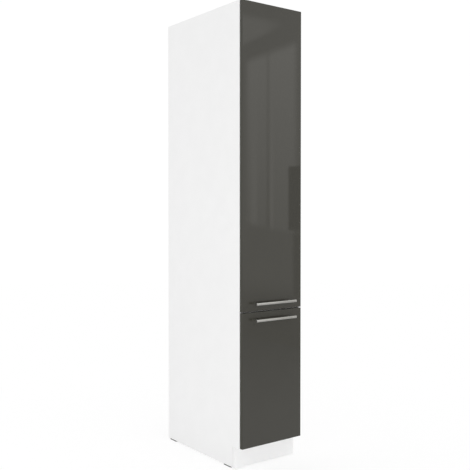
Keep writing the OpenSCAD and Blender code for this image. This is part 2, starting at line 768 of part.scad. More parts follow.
// An upright with its web at the origin and its flanges towards -Y, its slots and its foot
module upright(z0, z1) {
    slot_count = floor((z1 - slot_z(z0) - slot_h) / slot_pitch);
    difference() {
        translate([0, 0, z0]) linear_extrude(height = z1 - z0) difference() {
            translate([-upright_w / 2, -upright_d]) square([upright_w, upright_d]);
            translate([-upright_w / 2 + upright_t, -upright_d - cut])
                square([upright_w - 2 * upright_t, upright_d - upright_t + cut]);
        }
        for (i = [0 : slot_count]) block([-slot_w / 2, -upright_t - cut, slot_z(z0) + i * slot_pitch],
                                        [slot_w, upright_t + 2 * cut, slot_h]);
    }
    difference() {
        block([-foot_w / 2, -upright_d, z0], [foot_w, foot_l, foot_t]);
        both_sides() translate([foot_screw_x, foot_l - upright_d - foot_screw_inset, z0 - cut])
            rod_z(foot_t + 2 * cut, frame_screw_d + 2 * seat);
    }
}

module front_upright(z0, z1, bracket_zs) difference() {
    translate([0, front_web_y, 0]) upright(z0, z1);
    for (z = bracket_zs) translate([-upright_w / 2 - cut, ear_screw_y, z])
        rod_x(upright_w + 2 * cut, frame_screw_d + 2 * seat);
}

module rear_upright(z0, z1) translate([0, rear_web_y, 0]) mirror([0, 1, 0]) upright(z0, z1);

module lower_front_upright() color(silver_coat)
    front_upright(lower_carriage_z, lower_bar_z, lower_bracket_zs);
module upper_front_upright() color(silver_coat)
    front_upright(upper_carriage_z, upper_bar_z, upper_bracket_zs);
module lower_rear_upright() color(silver_coat) rear_upright(lower_carriage_z, lower_bar_z);
module upper_rear_upright() color(silver_coat) rear_upright(upper_carriage_z, upper_bar_z);

// The tube over the uprights, with a riveted pin for each guide roller
module top_bar(bar_z, ceiling_z) {
    pin_z = ceiling_z + roller_z;
    difference() {
        block([-upright_w / 2, frame_y0, bar_z], [upright_w, bar_y1 - frame_y0, bar_h]);
        block([-upright_w / 2 + upright_t, frame_y0 - cut, bar_z + upright_t],
              [upright_w - 2 * upright_t, bar_y1 - frame_y0 + 2 * cut, bar_h - 2 * upright_t]);
    }
    for (i = [0, 1]) translate([(i * 2 - 1) * roller_shift, roller_ys[i], 0]) {
        translate([0, 0, bar_z + bar_h - upright_t])
            rod_z(pin_z - seat - bar_z - bar_h + upright_t, roller_seat_d);
        translate([0, 0, pin_z - cut]) rod_z(roller_h + 2 * cut, roller_pin_d);
        translate([0, 0, pin_z + roller_h + seat]) rod_z(roller_head_h, roller_head_d);
    }
}

// A nylon roller with a recess in each face
module guide_roller(i, ceiling_z)
    translate([(i * 2 - 1) * roller_shift, roller_ys[i], ceiling_z + roller_z]) difference() {
        rod_z(roller_h, roller_d);
        translate([0, 0, -cut]) rod_z(roller_h + 2 * cut, roller_bore_d);
        for (z = [-cut, roller_h - roller_recess]) translate([0, 0, z]) difference() {
            rod_z(roller_recess + cut, roller_d - 2 * roller_rim);
            translate([0, 0, -cut]) rod_z(roller_recess + 3 * cut, roller_seat_d + 1);
        }
    }

module lower_top_bar() color(silver_coat) top_bar(lower_bar_z, lower_ceiling_z);
module upper_top_bar() color(silver_coat) top_bar(upper_bar_z, upper_ceiling_z);
module lower_guide_roller_left() color("whitesmoke") guide_roller(0, lower_ceiling_z);
module lower_guide_roller_right() color("whitesmoke") guide_roller(1, lower_ceiling_z);
module upper_guide_roller_left() color("whitesmoke") guide_roller(0, upper_ceiling_z);
module upper_guide_roller_right() color("whitesmoke") guide_roller(1, upper_ceiling_z);

// Plates on the rear of a front, with ears that reach into the front upright
module front_brackets(bracket_zs) for (z = bracket_zs) difference() {
    ear_x = upright_w / 2 - upright_t - seat - ear_t;
    union() {
        block([-plate_w / 2, front_rear_y, z - plate_h / 2], [plate_w, plate_t, plate_h]);
        both_sides() block([ear_x, front_rear_y + plate_t, z - plate_h / 2], [ear_t, ear_len, plate_h]);
    }
    for (x = plate_screw_x) translate([x, front_rear_y - cut, z])
        rod_y(plate_t + 2 * cut, wood_screw_d + 2 * seat);
    translate([-upright_w / 2, ear_screw_y, z]) rod_x(upright_w, frame_screw_d + 2 * seat);
}

module lower_front_brackets() color(zinc) front_brackets(lower_bracket_zs);
module upper_front_brackets() color(zinc) front_brackets(upper_bracket_zs);

// All screws that travel with a pull-out
module frame_fasteners(floor_z, handle_z, bracket_zs) {
    for (z = bracket_zs) {
        for (x = plate_screw_x) translate([x, front_rear_y + plate_t, z]) rotate([-90, 0, 0])
            pan_screw(wood_screw_d, plate_t + plate_screw_depth - blind_extra, back_screw_head_d,
                      screw_head_h);
        both_sides() translate([-upright_w / 2, ear_screw_y, z]) rotate([0, -90, 0])
            pan_screw(frame_screw_d, upright_t + ear_t + ear_screw_past, frame_screw_head_d,
                      frame_screw_head_h);
    }
    for (x = [-1, 1]) translate([x * handle_post_span / 2, front_rear_y, handle_z]) rotate([-90, 0, 0])
        pan_screw(rail_screw_d, front_t + handle_thread - blind_extra, rail_screw_head_d, screw_head_h);
    both_sides() for (y = carriage_screw_ys)
        translate([-carriage_leg_x + sheet_t, y, floor_z + slide_lift]) rotate([0, 90, 0])
            pan_screw(rail_screw_d, sheet_t + rail_t + 1, rail_screw_head_d, screw_head_h);
    for (y = foot_ys) both_sides() translate([foot_screw_x, y, floor_z + carriage_top + foot_t])
        pan_screw(frame_screw_d, foot_t + sheet_t + foot_screw_past, frame_screw_head_d,
                  frame_screw_head_h);
}

module lower_fasteners() color(zinc)
    frame_fasteners(lower_floor_z, lower_handle_z, lower_bracket_zs);
module upper_fasteners() color(zinc)
    frame_fasteners(upper_floor_z, upper_handle_z, upper_bracket_zs);

// ---- Baskets ----

// A quarter turn of wire about the Z axis
module wire_bend(r, d, from) rotate([0, 0, from])
    rotate_extrude(angle = 90) translate([r, 0]) circle(d = d, $fn = 24);

// A closed loop of wire with rounded corners; w and l are between the wire's centres
module wire_loop(w, l, r, d) for (quarter = [0, 90, 180, 270]) {
    straight_x = (quarter == 0 || quarter == 270) ? 1 : -1;
    straight_y = quarter < 180 ? 1 : -1;
    translate([straight_x * (w / 2 - r), straight_y * (l / 2 - r), 0]) wire_bend(r, d, quarter);
    if (straight_y > 0) translate([straight_x * w / 2, r - l / 2, 0]) rod_y(l - 2 * r, d);
    if (straight_x > 0) translate([r - w / 2, straight_y * l / 2, 0]) rod_x(w - 2 * r, d);
}

// A hook plate on a basket's end: two tabs reach through the upright's slots and drop behind it
module basket_hooks() {
    block([-hook_w / 2, -hook_t, support_d / 2], [hook_w, hook_t, basket_h - support_d]);
    for (k = [0, hook_slots_apart]) translate([0, 0, first_slot + k * slot_pitch]) {
        block([-hook_tab_w / 2, -hook_t - seat - upright_t - seat - hook_t, 0],
              [hook_tab_w, 2 * hook_t + 2 * seat + upright_t, hook_tab_h]);
        block([-hook_tab_w / 2, -hook_t - seat - upright_t - seat - hook_t, -hook_lip],
              [hook_tab_w, hook_t, hook_lip + hook_tab_h]);
    }
}

// A welded wire basket: three loops, upright wires inside them, a floor of cross wires on
// three supports, and a hook plate at each end. Its underside is at z = 0.
module basket() {
    loop_zs = [support_d - weld + loop_d / 2, basket_h / 2, basket_h - loop_d / 2];
    stave_z = loop_zs[0] - loop_d / 2 + stave_d / 2;
    stave_len = basket_h - stave_z - loop_d / 4;
    stave_in = loop_d + stave_d / 2 - weld;
    stave_step = (basket_l - 2 * basket_r - 2 * loop_d) / stave_count;
    floor_z = support_d + floor_wire_d / 2 - weld;
    floor_span = basket_l - 2 * basket_r - 2 * loop_d;
    floor_count = floor(floor_span / floor_pitch);
    for (z = loop_zs) translate([0, 0, z])
        wire_loop(basket_w - loop_d, basket_l - loop_d, basket_r, loop_d);
    for (share = support_xs) translate([share * basket_w, loop_d / 2 - basket_l / 2, support_d / 2])
        rod_y(basket_l - loop_d, support_d);
    for (i = [0 : floor_count])
        translate([loop_d - 2 * weld - basket_w / 2, (i - floor_count / 2) * floor_pitch, floor_z])
            rod_x(basket_w - 2 * loop_d + 4 * weld, floor_wire_d);
    both_sides() for (i = [0 : stave_count - 1])
        translate([basket_w / 2 - stave_in, (i - (stave_count - 1) / 2) * stave_step, stave_z])
            rod_z(stave_len, stave_d);
    for (end = [0, 1]) mirror([0, end, 0]) {
        translate([0, weld - basket_l / 2, 0]) basket_hooks();
        both_sides() translate([end_stave_x * basket_w, stave_in - basket_l / 2, stave_z])
            rod_z(stave_len, stave_d);
    }
}

// The hook slot of each basket, counted from the lowest: the baskets share the frame's height evenly
function basket_steps(count, z0, z1) = [for (i = [0 : count - 1]) i * floor((z1 - z0) / slot_pitch / count)];

upper_steps = basket_steps(upper_basket_count, upper_carriage_z, upper_bar_z);
lower_steps = basket_steps(lower_basket_count, lower_carriage_z, lower_bar_z);

// A basket hung the given number of slots above the lowest place over a carriage at z
module hung_basket(z, step)
    translate([0, (basket_y0 + basket_y1) / 2, z + basket_lift + step * slot_pitch]) basket();

module upper_basket_1() color(chrome) hung_basket(upper_carriage_z, upper_steps[0]);
module upper_basket_2() color(chrome) hung_basket(upper_carriage_z, upper_steps[1]);
module upper_basket_3() color(chrome) hung_basket(upper_carriage_z, upper_steps[2]);
module upper_basket_4() color(chrome) hung_basket(upper_carriage_z, upper_steps[3]);
module lower_basket_1() color(chrome) hung_basket(lower_carriage_z, lower_steps[0]);
module lower_basket_2() color(chrome) hung_basket(lower_carriage_z, lower_steps[1]);

// ---- The nodes ----

side_panel_left();
side_panel_right();
top_panel();
divider_panel();
bottom_panel();
back_panel_upper();
back_panel_lower();
plinth_board();
floor_glides();
cam_locks();
cam_bolts();
wood_dowels();
back_screws();
wall_brackets();
front_buffers();
upper_slide_base();
lower_slide_base();
upper_outer_rails();
lower_outer_rails();
upper_guide_rail();
lower_guide_rail();
rail_screws();
upper_front();
upper_handle_bar();
upper_handle_posts();
upper_carriage();
upper_inner_rails();
upper_front_upright();
upper_rear_upright();
upper_top_bar();
upper_front_brackets();
upper_fasteners();
upper_basket_1();
upper_basket_2();
upper_basket_3();
upper_basket_4();
upper_mid_rails();
upper_outer_cages();
upper_inner_cages();
upper_guide_roller_left();
upper_guide_roller_right();
lower_front();
lower_handle_bar();
lower_handle_posts();
lower_carriage();
lower_inner_rails();
lower_front_upright();
lower_rear_upright();
lower_top_bar();
lower_front_brackets();
lower_fasteners();
lower_basket_1();
lower_basket_2();
lower_mid_rails();
lower_outer_cages();
lower_inner_cages();
lower_guide_roller_left();
lower_guide_roller_right();
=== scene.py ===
"""Looks of a pull-out larder unit: a tall white cabinet with two gloss grey fronts.

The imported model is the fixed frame. This script dresses its nodes, builds the fronts, the
handle bars, the wire baskets, the edge bands and the outer plinth board, and sets a plain
studio round them. Lengths are in metres, in the frame's own axes: +X to the right, -Y to the
front, +Z up.
"""

import logging
import math
from collections.abc import Mapping, Sequence
from dataclasses import dataclass, field
from enum import Enum

import bmesh
import bpy
from bpy.types import Material, Node, NodeSocket as Socket, NodeTree, Object, World
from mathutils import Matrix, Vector


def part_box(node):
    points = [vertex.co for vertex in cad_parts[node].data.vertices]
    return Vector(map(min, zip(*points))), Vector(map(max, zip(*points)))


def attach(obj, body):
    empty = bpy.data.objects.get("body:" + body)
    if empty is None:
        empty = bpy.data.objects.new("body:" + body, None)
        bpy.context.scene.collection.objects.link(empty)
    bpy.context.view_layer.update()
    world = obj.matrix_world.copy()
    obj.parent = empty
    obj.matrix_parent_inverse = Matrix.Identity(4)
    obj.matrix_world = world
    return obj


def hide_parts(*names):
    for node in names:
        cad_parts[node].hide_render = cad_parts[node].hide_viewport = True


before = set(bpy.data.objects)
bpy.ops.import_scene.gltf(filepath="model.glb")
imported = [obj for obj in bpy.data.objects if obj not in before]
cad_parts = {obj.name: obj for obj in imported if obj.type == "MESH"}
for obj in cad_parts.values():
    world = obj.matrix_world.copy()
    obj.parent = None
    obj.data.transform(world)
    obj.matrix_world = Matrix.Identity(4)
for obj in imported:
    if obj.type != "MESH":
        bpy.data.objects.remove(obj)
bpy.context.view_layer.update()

MM = 0.001
MICRON = 0.000001
WHITE = (1.0, 1.0, 1.0, 1.0)
Pair = tuple[float, float]
Fade = tuple[float, float]
Strip = tuple[float, float, float]
Leaning = tuple[float, float, float]
Point = tuple[float, float, float]
Colour = tuple[float, float, float]
OpaqueColour = tuple[float, float, float, float]
Outputs = Mapping[str, Socket]
log = logging.getLogger("larder_unit")


def paint(red: float, green: float, blue: float) -> Colour:
    """Turns a colour as it is seen on a screen into the linear light that a shader takes.

    Args:
        red: Red from 0 to 255.
        green: Green from 0 to 255.
        blue: Blue from 0 to 255.

    Returns:
        The linear colour.
    """
    shares = (channel / 255 for channel in (red, green, blue))
    return tuple(s / 12.92 if s <= 0.04045 else ((s + 0.055) / 1.055) ** 2.4 for s in shares)


def shade_of(colour: Colour, factor: float = 1.0) -> OpaqueColour:
    """Gives a colour made lighter or darker by a factor, with full opacity."""
    return (*(min(1.0, channel * factor) for channel in colour), 1.0)


# ---- Shader trees ----


class Tree:
    """Lays nodes in one shader tree and joins them."""

    def __init__(self, tree: NodeTree) -> None:
        """Keeps the tree to work in."""
        self.tree = tree

    def add(self, kind: str, inputs: Mapping | None = None, **settings: object) -> Node:
        """Adds a node.

        Args:
            kind: Blender's name of the node type.
            inputs: Values or sockets for the node's inputs, by name or place.
            **settings: The node's own settings.

        Returns:
            The new node.
        """
        node = self.tree.nodes.new(kind)
        for name, value in settings.items():
            setattr(node, name, value)
        self.feed(node, inputs or {})
        return node

    def feed(self, node: Node, inputs: Mapping) -> None:
        """Sets a node's inputs, or links those whose value is a socket itself.

        Args:
            node: The node.
            inputs: Values or sockets, by the input's name or place.
        """
        for name, value in inputs.items():
            if isinstance(value, Socket):
                self.tree.links.new(value, node.inputs[name])
            else:
                node.inputs[name].default_value = value

    def math(self, operation: str, first: object, second: object = 0.0,
             third: object = 0.0) -> Socket:
        """Adds a Math node and gives its result."""
        inputs = {0: first, 1: second, 2: third}
        return self.add("ShaderNodeMath", inputs, operation=operation).outputs[0]

    def times(self, first: object, second: object) -> Socket:
        """Multiplies two values."""
        return self.math("MULTIPLY", first, second)

    def scaled(self, value: object, factor: object, start: object) -> Socket:
        """Multiplies a value by a factor and adds it to a start."""
        return self.math("MULTIPLY_ADD", value, factor, start)

    def blend(self, share: object, plain: object, changed: object,
              strength: float = 1.0) -> Socket:
        """Mixes two colours.

        Args:
            share: How much of the changed colour there is.
            plain: The colour where the share is 0.
            changed: The colour where the share is 1.
            strength: What the share is multiplied by first.

        Returns:
            The mixed colour.
        """
        if strength != 1.0:
            share = self.times(share, strength)
        return self.add("ShaderNodeMix", {0: share, 6: plain, 7: changed},
                        data_type="RGBA").outputs[2]

    def span(self, value: object, low: float, high: float, out_low: float = 0.0,
             out_high: float = 1.0) -> Socket:
        """Turns a value between low and high smoothly into one between out_low and out_high.

        Args:
            value: The value's socket.
            low: The value that gives out_low.
            high: The value that gives out_high.
            out_low: The result at low and beyond it.
            out_high: The result at high and beyond it.

        Returns:
            The result.
        """
        return self.add("ShaderNodeMapRange", {0: value, 1: low, 2: high, 3: out_low, 4: out_high},
                        interpolation_type="SMOOTHSTEP").outputs[0]

    def place(self) -> Socket:
        """Gives the point's place on its own piece, which moves with the piece."""
        return self.add("ShaderNodeTexCoord").outputs["Object"]

    def facing(self) -> Socket:
        """Gives the direction that the surface faces."""
        return self.add("ShaderNodeNewGeometry").outputs["Normal"]

    def axes(self, vector: Socket) -> Sequence[Socket]:
        """Splits a vector into its X, Y and Z."""
        return list(self.add("ShaderNodeSeparateXYZ", {0: vector}).outputs)

    def vector(self, operation: str, first: Socket, second: Socket) -> Outputs:
        """Adds a Vector Math node and gives its outputs."""
        inputs = {0: first, 1: second}
        return self.add("ShaderNodeVectorMath", inputs, operation=operation).outputs

    def texture(self, kind: str, size: object, at: Socket | None = None,
                inputs: Mapping | None = None, **settings: object) -> Node:
        """Adds a texture.

        Args:
            kind: Blender's name of the texture node.
            size: How long a wave or a cell is.
            at: Where it is read; on the piece itself if not given.
            inputs: Its other inputs.
            **settings: The node's own settings.

        Returns:
            The texture's node.
        """
        scale = self.math("DIVIDE", 1.0, size)
        where = {"Vector": at or self.place(), "Scale": scale}
        return self.add(kind, {**where, **(inputs or {})}, **settings)

    def noise(self, size: object, detail: float = 2.0, roughness: float = 0.5,
              at: Socket | None = None) -> Socket:
        """Adds a noise texture, whose value lies from 0 to 1 and mostly near a half.

        Args:
            size: How long a wave is.
            detail: How many finer octaves it has.
            roughness: How strong the finer octaves are.
            at: Where it is read; on the piece itself if not given.

        Returns:
            The noise's value.
        """
        inputs = {"Detail": detail, "Roughness": roughness}
        return self.texture("ShaderNodeTexNoise", size, at, inputs).outputs[0]

    def relief(self, height: Socket) -> Socket:
        """Turns heights in metres into a normal."""
        inputs = {"Height": height, "Strength": 1.0, "Distance": 1.0}
        return self.add("ShaderNodeBump", inputs).outputs[0]


class GroupTree(Tree):
    """A node group's tree, with its inputs at hand."""

    def __init__(self, name: str, inputs: Mapping[str, object]) -> None:
        """Makes the group with its inputs.

        Args:
            name: The group's name.
            inputs: Default values by name; a tuple makes a vector.
        """
        super().__init__(bpy.data.node_groups.new(name, "ShaderNodeTree"))
        for title, default in inputs.items():
            kind = "NodeSocketVector" if isinstance(default, tuple) else "NodeSocketFloat"
            self.tree.interface.new_socket(name=title, in_out="INPUT",
                                           socket_type=kind).default_value = default
        self.given = self.add("NodeGroupInput").outputs

    def give(self, outputs: Outputs) -> NodeTree:
        """Puts out the group's values, and ends the group.

        Args:
            outputs: The values by name.

        Returns:
            The finished group.
        """
        for title in outputs:
            self.tree.interface.new_socket(name=title, in_out="OUTPUT",
                                           socket_type="NodeSocketFloat")
        self.add("NodeGroupOutput", outputs)
        return self.tree

    def patches(self, reach: Pair, detail: float = 2.0, roughness: float = 0.5) -> Socket:
        """Gives the patches that a noise of the group's Size makes between two of its values."""
        return self.span(self.noise(self.given["Size"], detail, roughness), *reach)

    def cells(self, output: str, **settings: object) -> Socket:
        """Gives an output of a texture of random cells of the group's Size."""
        return self.texture("ShaderNodeTexVoronoi", self.given["Size"], **settings).outputs[output]

    def rounded(self, samples: int) -> Socket:
        """Gives the normal of the surface if its edges were rounded by the group's Width."""
        inputs = {"Radius": self.given["Width"]}
        return self.add("ShaderNodeBevel", inputs, samples=samples).outputs[0]

    def deep(self, mask: Socket) -> Socket:
        """Gives the height of a mask that is as high as the group's Depth."""
        return self.times(mask, self.given["Depth"])


class Effect(Enum):
    """The effects that several finishes share: each group's name and its inputs."""

    CLOUDY_TONE = ("cloudy tone", {"Size": 0.1})
    FINE_PEEL = ("fine peel", {"Size": MM, "Depth": 5 * MICRON})
    BRUSH_LINES = ("brush lines", {"Stretch": (1.0, 1.0, 1.0), "Size": 0.3 * MM,
                                   "Depth": MICRON})
    EDGE_RUB = ("edge rub", {"Width": MM, "Size": 4 * MM})
    SETTLED_DUST = ("settled dust", {"Size": 20 * MM})
    HAIRLINES = ("hairlines", {"Size": 12 * MM})
    ZINC_BLOOM = ("zinc bloom", {"Size": 3 * MM})


class EffectGroups:
    """The node groups of the shared effects, each built once.

    Each effect has a method that lays its nodes and gives the group's outputs by name. A pair
    names the two values of a texture between which its mask rises.
    """

    CLOUDS: Pair = (0.3, 0.7)
    GRAINS: Pair = (0.35, 0.65)
    EDGE_TURN: Pair = (0.995, 0.85)
    RUB_PATCHES: Pair = (0.35, 0.6)
    LYING: Pair = (0.5, 0.95)
    DUST_PATCHES: Pair = (0.4, 0.75)
    HAIRLINE: Pair = (0.006, 0.0)
    WIPE_PATCHES: Pair = (0.5, 0.62)
    EDGE_SAMPLES = 4

    def __init__(self) -> None:
        """Starts with no group built."""
        self._built: dict[Effect, NodeTree] = {}
        self._builders = {
            Effect.CLOUDY_TONE: self._cloudy_tone,
            Effect.FINE_PEEL: self._fine_peel,
            Effect.BRUSH_LINES: self._brush_lines,
            Effect.EDGE_RUB: self._edge_rub,
            Effect.SETTLED_DUST: self._settled_dust,
            Effect.HAIRLINES: self._hairlines,
            Effect.ZINC_BLOOM: self._zinc_bloom,
        }

    def group(self, effect: Effect) -> NodeTree:
        """Gives an effect's group, and builds it the first time.

        Args:
            effect: The effect.

        Returns:
            The group.
        """
        if effect not in self._built:
            group = GroupTree(*effect.value)
            self._built[effect] = group.give(self._builders[effect](group))
        return self._built[effect]

    def _cloudy_tone(self, group: GroupTree) -> Outputs:
        """Slow drifts of tone over a large face, with a fainter fine mottle in them."""
        return {"Tone": group.patches(self.CLOUDS, detail=3.0)}

    def _fine_peel(self, group: GroupTree) -> Outputs:
        """The fine pimpled skin of a coat or a pressed board, as a height and as a mask."""
        grain = group.noise(group.given["Size"], roughness=0.6)
        return {"Height": group.deep(grain), "Grain": group.span(grain, *self.GRAINS)}

    def _brush_lines(self, group: GroupTree) -> Outputs:
        """Lines drawn one way; the group's Stretch is small along them and large across.

        Args:
            group: The effect's group.

        Returns:
            A mask of the lines and their height.
        """
        drawn = group.vector("MULTIPLY", group.place(), group.given["Stretch"])[0]
        lines = group.noise(group.given["Size"], detail=3.0, roughness=0.7, at=drawn)
        return {"Lines": group.span(lines, *self.CLOUDS), "Height": group.deep(lines)}

    def _edge_rub(self, group: GroupTree) -> Outputs:
        """A mask of the outer edges, broken up as handling breaks it up.

        Args:
            group: The effect's group.

        Returns:
            The mask.
        """
        along = group.vector("DOT_PRODUCT", group.rounded(self.EDGE_SAMPLES), group.facing())
        return {"Mask": group.times(group.span(along["Value"], *self.EDGE_TURN),
                                    group.patches(self.RUB_PATCHES, detail=3.0))}

    def _settled_dust(self, group: GroupTree) -> Outputs:
        """A mask of faces that look up, where a little dust settles in patches.

        Args:
            group: The effect's group.

        Returns:
            The mask.
        """
        upward = group.span(group.axes(group.facing())[2], *self.LYING)
        patches = group.patches(self.DUST_PATCHES, detail=6.0, roughness=0.7)
        return {"Mask": group.times(upward, patches)}

    def _hairlines(self, group: GroupTree) -> Outputs:
        """Short hairline marks from wiping, which run every way."""
        line = group.span(group.cells("Distance", feature="DISTANCE_TO_EDGE"), *self.HAIRLINE)
        return {"Mask": group.times(line, group.patches(self.WIPE_PATCHES))}

    def _zinc_bloom(self, group: GroupTree) -> Outputs:
        """The faint crystals and clouds of a zinc coat, half of each."""
        clouds = group.times(group.patches(self.CLOUDS, detail=4.0), 0.5)
        return {"Bloom": group.scaled(group.axes(group.cells("Color"))[0], 0.5, clouds)}


class SurfaceTree(Tree):
    """The emptied tree of a material or a world, in which shared effects can be laid."""

    def __init__(self, owner: Material | World, effects: EffectGroups | None = None) -> None:
        """Empties the owner's tree.

        Args:
            owner: The material or the world.
            effects: The shared effect groups, where the tree uses any.
        """
        owner.use_nodes = True
        owner.node_tree.nodes.clear()
        super().__init__(owner.node_tree)
        self.effects = effects

    def effect(self, effect: Effect, **inputs: object) -> Outputs:
        """Lays an effect's group with its inputs, and gives its outputs by name."""
        return self.add("ShaderNodeGroup", inputs, node_tree=self.effects.group(effect)).outputs

    def rays(self) -> tuple[Socket, Socket]:
        """Tells the rays that reach a surface apart.

        Returns:
            A mask of the camera's rays, and one of those of gloss and through glass.
        """
        path = self.add("ShaderNodeLightPath").outputs
        gloss = self.math("MAXIMUM", path["Is Glossy Ray"], path["Is Transmission Ray"])
        return path["Is Camera Ray"], gloss

    def glow(self, strength: object, colour: OpaqueColour = WHITE) -> Socket:
        """Gives a surface that glows evenly."""
        return self.add("ShaderNodeEmission", {"Color": colour, "Strength": strength}).outputs[0]

    def either(self, share: Socket, plain: Socket, changed: Socket) -> Socket:
        """Mixes two surfaces by the changed one's share."""
        return self.add("ShaderNodeMixShader", {0: share, 1: plain, 2: changed}).outputs[0]

    def finish(self, surface: Socket, kind: str = "ShaderNodeOutputMaterial") -> None:
        """Ends the tree with its surface."""
        self.add(kind, {"Surface": surface})


# ---- Finishes ----


class Run(Enum):
    """The direction in which a finish was brushed, rolled or drawn."""

    ACROSS = (0.02, 1.0, 1.0)
    DEEP = (1.0, 0.02, 1.0)


@dataclass(frozen=True)
class Finish:
    """A surface finish: the values of its shader, and how its tone drifts."""

    slot: str
    colour: Colour
    roughness: float
    gloss_drift: float = 0.06
    tone_size: float = 80 * MM
    tone_share: float = 0.03
    grain_size: float = MM
    grain_depth: float = 5 * MICRON
    rub_width: float = 0.0
    rub_share: float = 1.0
    rub_factor: float = 1.0
    name: str = ""

    def material(self, effects: EffectGroups) -> Material:
        """Builds the finish's material.

        Args:
            effects: The shared effect groups.

        Returns:
            The material.
        """
        made = bpy.data.materials.new(self.name or self.slot)
        made.diffuse_color = self.shade()
        sheet = SurfaceTree(made, effects)
        shader = sheet.add("ShaderNodeBsdfPrincipled", {"Roughness": self.roughness})
        sheet.feed(shader, self.dress(sheet))
        sheet.finish(shader.outputs[0])
        return made

    def dress(self, sheet: SurfaceTree) -> dict[str, object]:
        """Gives the shader's inputs by name; each kind of finish has its own."""
        return {"Base Color": self.toned(sheet)}

    def shade(self, factor: float = 1.0) -> OpaqueColour:
        """Gives the finish's colour made lighter or darker by a factor."""
        return shade_of(self.colour, factor)

    def toned(self, sheet: SurfaceTree) -> Socket:
        """Gives the finish's colour with its slow drifts of tone."""
        tone = sheet.effect(Effect.CLOUDY_TONE, Size=self.tone_size)["Tone"]
        return sheet.blend(tone, self.shade(1 - self.tone_share), self.shade())

    def grain(self, sheet: SurfaceTree) -> Outputs:
        """Gives the height and the mask of the finish's fine grain."""
        return sheet.effect(Effect.FINE_PEEL, Size=self.grain_size, Depth=self.grain_depth)

    def rubbed(self, sheet: SurfaceTree, colour: Socket) -> Socket:
        """Gives a colour with rubbed edges in it."""
        edge = sheet.effect(Effect.EDGE_RUB, Width=self.rub_width)["Mask"]
        return sheet.blend(edge, colour, self.shade(self.rub_factor), self.rub_share)

    def drifting(self, sheet: SurfaceTree, mask: Socket) -> Socket:
        """Gives a roughness that drifts with a mask, as far over the finish's own as under."""
        return sheet.scaled(mask, self.gloss_drift, self.roughness - self.gloss_drift / 2)


@dataclass(frozen=True)
class BoardFinish(Finish):
    """Melamine-faced board: a fine pearl texture, faintly rubbed edges and a little dust."""

    gloss_drift: float = 0.1
    grain_size: float = 0.9 * MM
    grain_depth: float = 9 * MICRON
    rub_width: float = 0.8 * MM
    rub_factor: float = 0.93
    dust_size: float = 60 * MM
    dust_share: float = 0.25
    dust_factor: float = 0.86

    def dress(self, sheet: SurfaceTree) -> dict[str, object]:
        """Adds the pearl relief, a gloss that follows it, the edges and the dust.

        Args:
            sheet: The material's tree.

        Returns:
            The shader's inputs by name.
        """
        dust = sheet.effect(Effect.SETTLED_DUST, Size=self.dust_size)["Mask"]
        pearl = self.grain(sheet)
        drift = self.gloss_drift / 2
        return {
            "Base Color": sheet.blend(dust, self.rubbed(sheet, self.toned(sheet)),
                                      self.shade(self.dust_factor), self.dust_share),
            "Roughness": sheet.span(pearl["Grain"], 0.0, 1.0, self.roughness - drift,
                                    self.roughness + drift),
            "Normal": sheet.relief(pearl["Height"]),
        }


@dataclass(frozen=True)
class LacquerFinish(Finish):
    """Sprayed and polished lacquer: a clear coat with the faintest orange peel."""

    grain_size: float = 9 * MM
    grain_depth: float = 2.2 * MICRON
    under_shine: float = 0.12
    coat_roughness: float = 0.03
    coat_ior: float = 1.5
    haze_share: float = 0.04
    wipe_size: float = 14 * MM
    wipe_share: float = 0.12

    def dress(self, sheet: SurfaceTree) -> dict[str, object]:
        """Adds the clear coat, its slow waves, and the haze of wiping.

        Args:
            sheet: The material's tree.

        Returns:
            The shader's inputs by name.
        """
        wipes = sheet.effect(Effect.HAIRLINES, Size=self.wipe_size)["Mask"]
        tone = sheet.effect(Effect.CLOUDY_TONE, Size=self.tone_size)["Tone"]
        haze = sheet.scaled(tone, self.haze_share, self.roughness)
        normal = sheet.relief(self.grain(sheet)["Height"])
        return {
            "Base Color": self.toned(sheet),
            "Roughness": sheet.scaled(wipes, self.wipe_share, haze),
            "Specular IOR Level": self.under_shine,
            "Coat Weight": 1.0,
            "Coat Roughness": self.coat_roughness,
            "Coat IOR": self.coat_ior,
            "Normal": normal,
            "Coat Normal": normal,
        }


@dataclass(frozen=True)
class MetalFinish(Finish):
    """Bare or plated metal: drawn lines, bloom in the plating and brighter rubbed edges."""

    gloss_size_share: float = 0.25
    run: Run | None = None
    line_size: float = 0.35 * MM
    line_depth: float = 1.5 * MICRON
    line_share: float = 0.12
    line_factor: float = 0.55
    line_haze: float = 0.08
    bloom_size: float = 0.0
    bloom_tint: Colour = (1.0, 1.0, 1.0)
    bloom_haze: float = 0.1
    rub_share: float = 0.5
    rub_factor: float = 1.3

    def dress(self, sheet: SurfaceTree) -> dict[str, object]:
        """Adds what the metal has of lines, bloom and rubbed edges.

        Args:
            sheet: The material's tree.

        Returns:
            The shader's inputs by name.
        """
        inputs: dict[str, object] = {"Metallic": 1.0}
        colour = self.toned(sheet)
        size = self.tone_size * self.gloss_size_share
        rough = self.drifting(sheet, sheet.effect(Effect.CLOUDY_TONE, Size=size)["Tone"])
        if self.bloom_size:
            bloom = sheet.effect(Effect.ZINC_BLOOM, Size=self.bloom_size)["Bloom"]
            tinted = tuple(a * b for a, b in zip(self.colour, self.bloom_tint))
            colour = sheet.blend(bloom, colour, shade_of(tinted))
            rough = sheet.scaled(bloom, self.bloom_haze, rough)
        if self.run:
            drawn = sheet.effect(Effect.BRUSH_LINES, Stretch=self.run.value,
                                 Size=self.line_size, Depth=self.line_depth)
            colour = sheet.blend(drawn["Lines"], colour, self.shade(self.line_factor),
                                 self.line_share)
            rough = sheet.scaled(drawn["Lines"], self.line_haze, rough)
            inputs["Normal"] = sheet.relief(drawn["Height"])
        if self.rub_width:
            colour = self.rubbed(sheet, colour)
        return {**inputs, "Base Color": colour, "Roughness": rough}


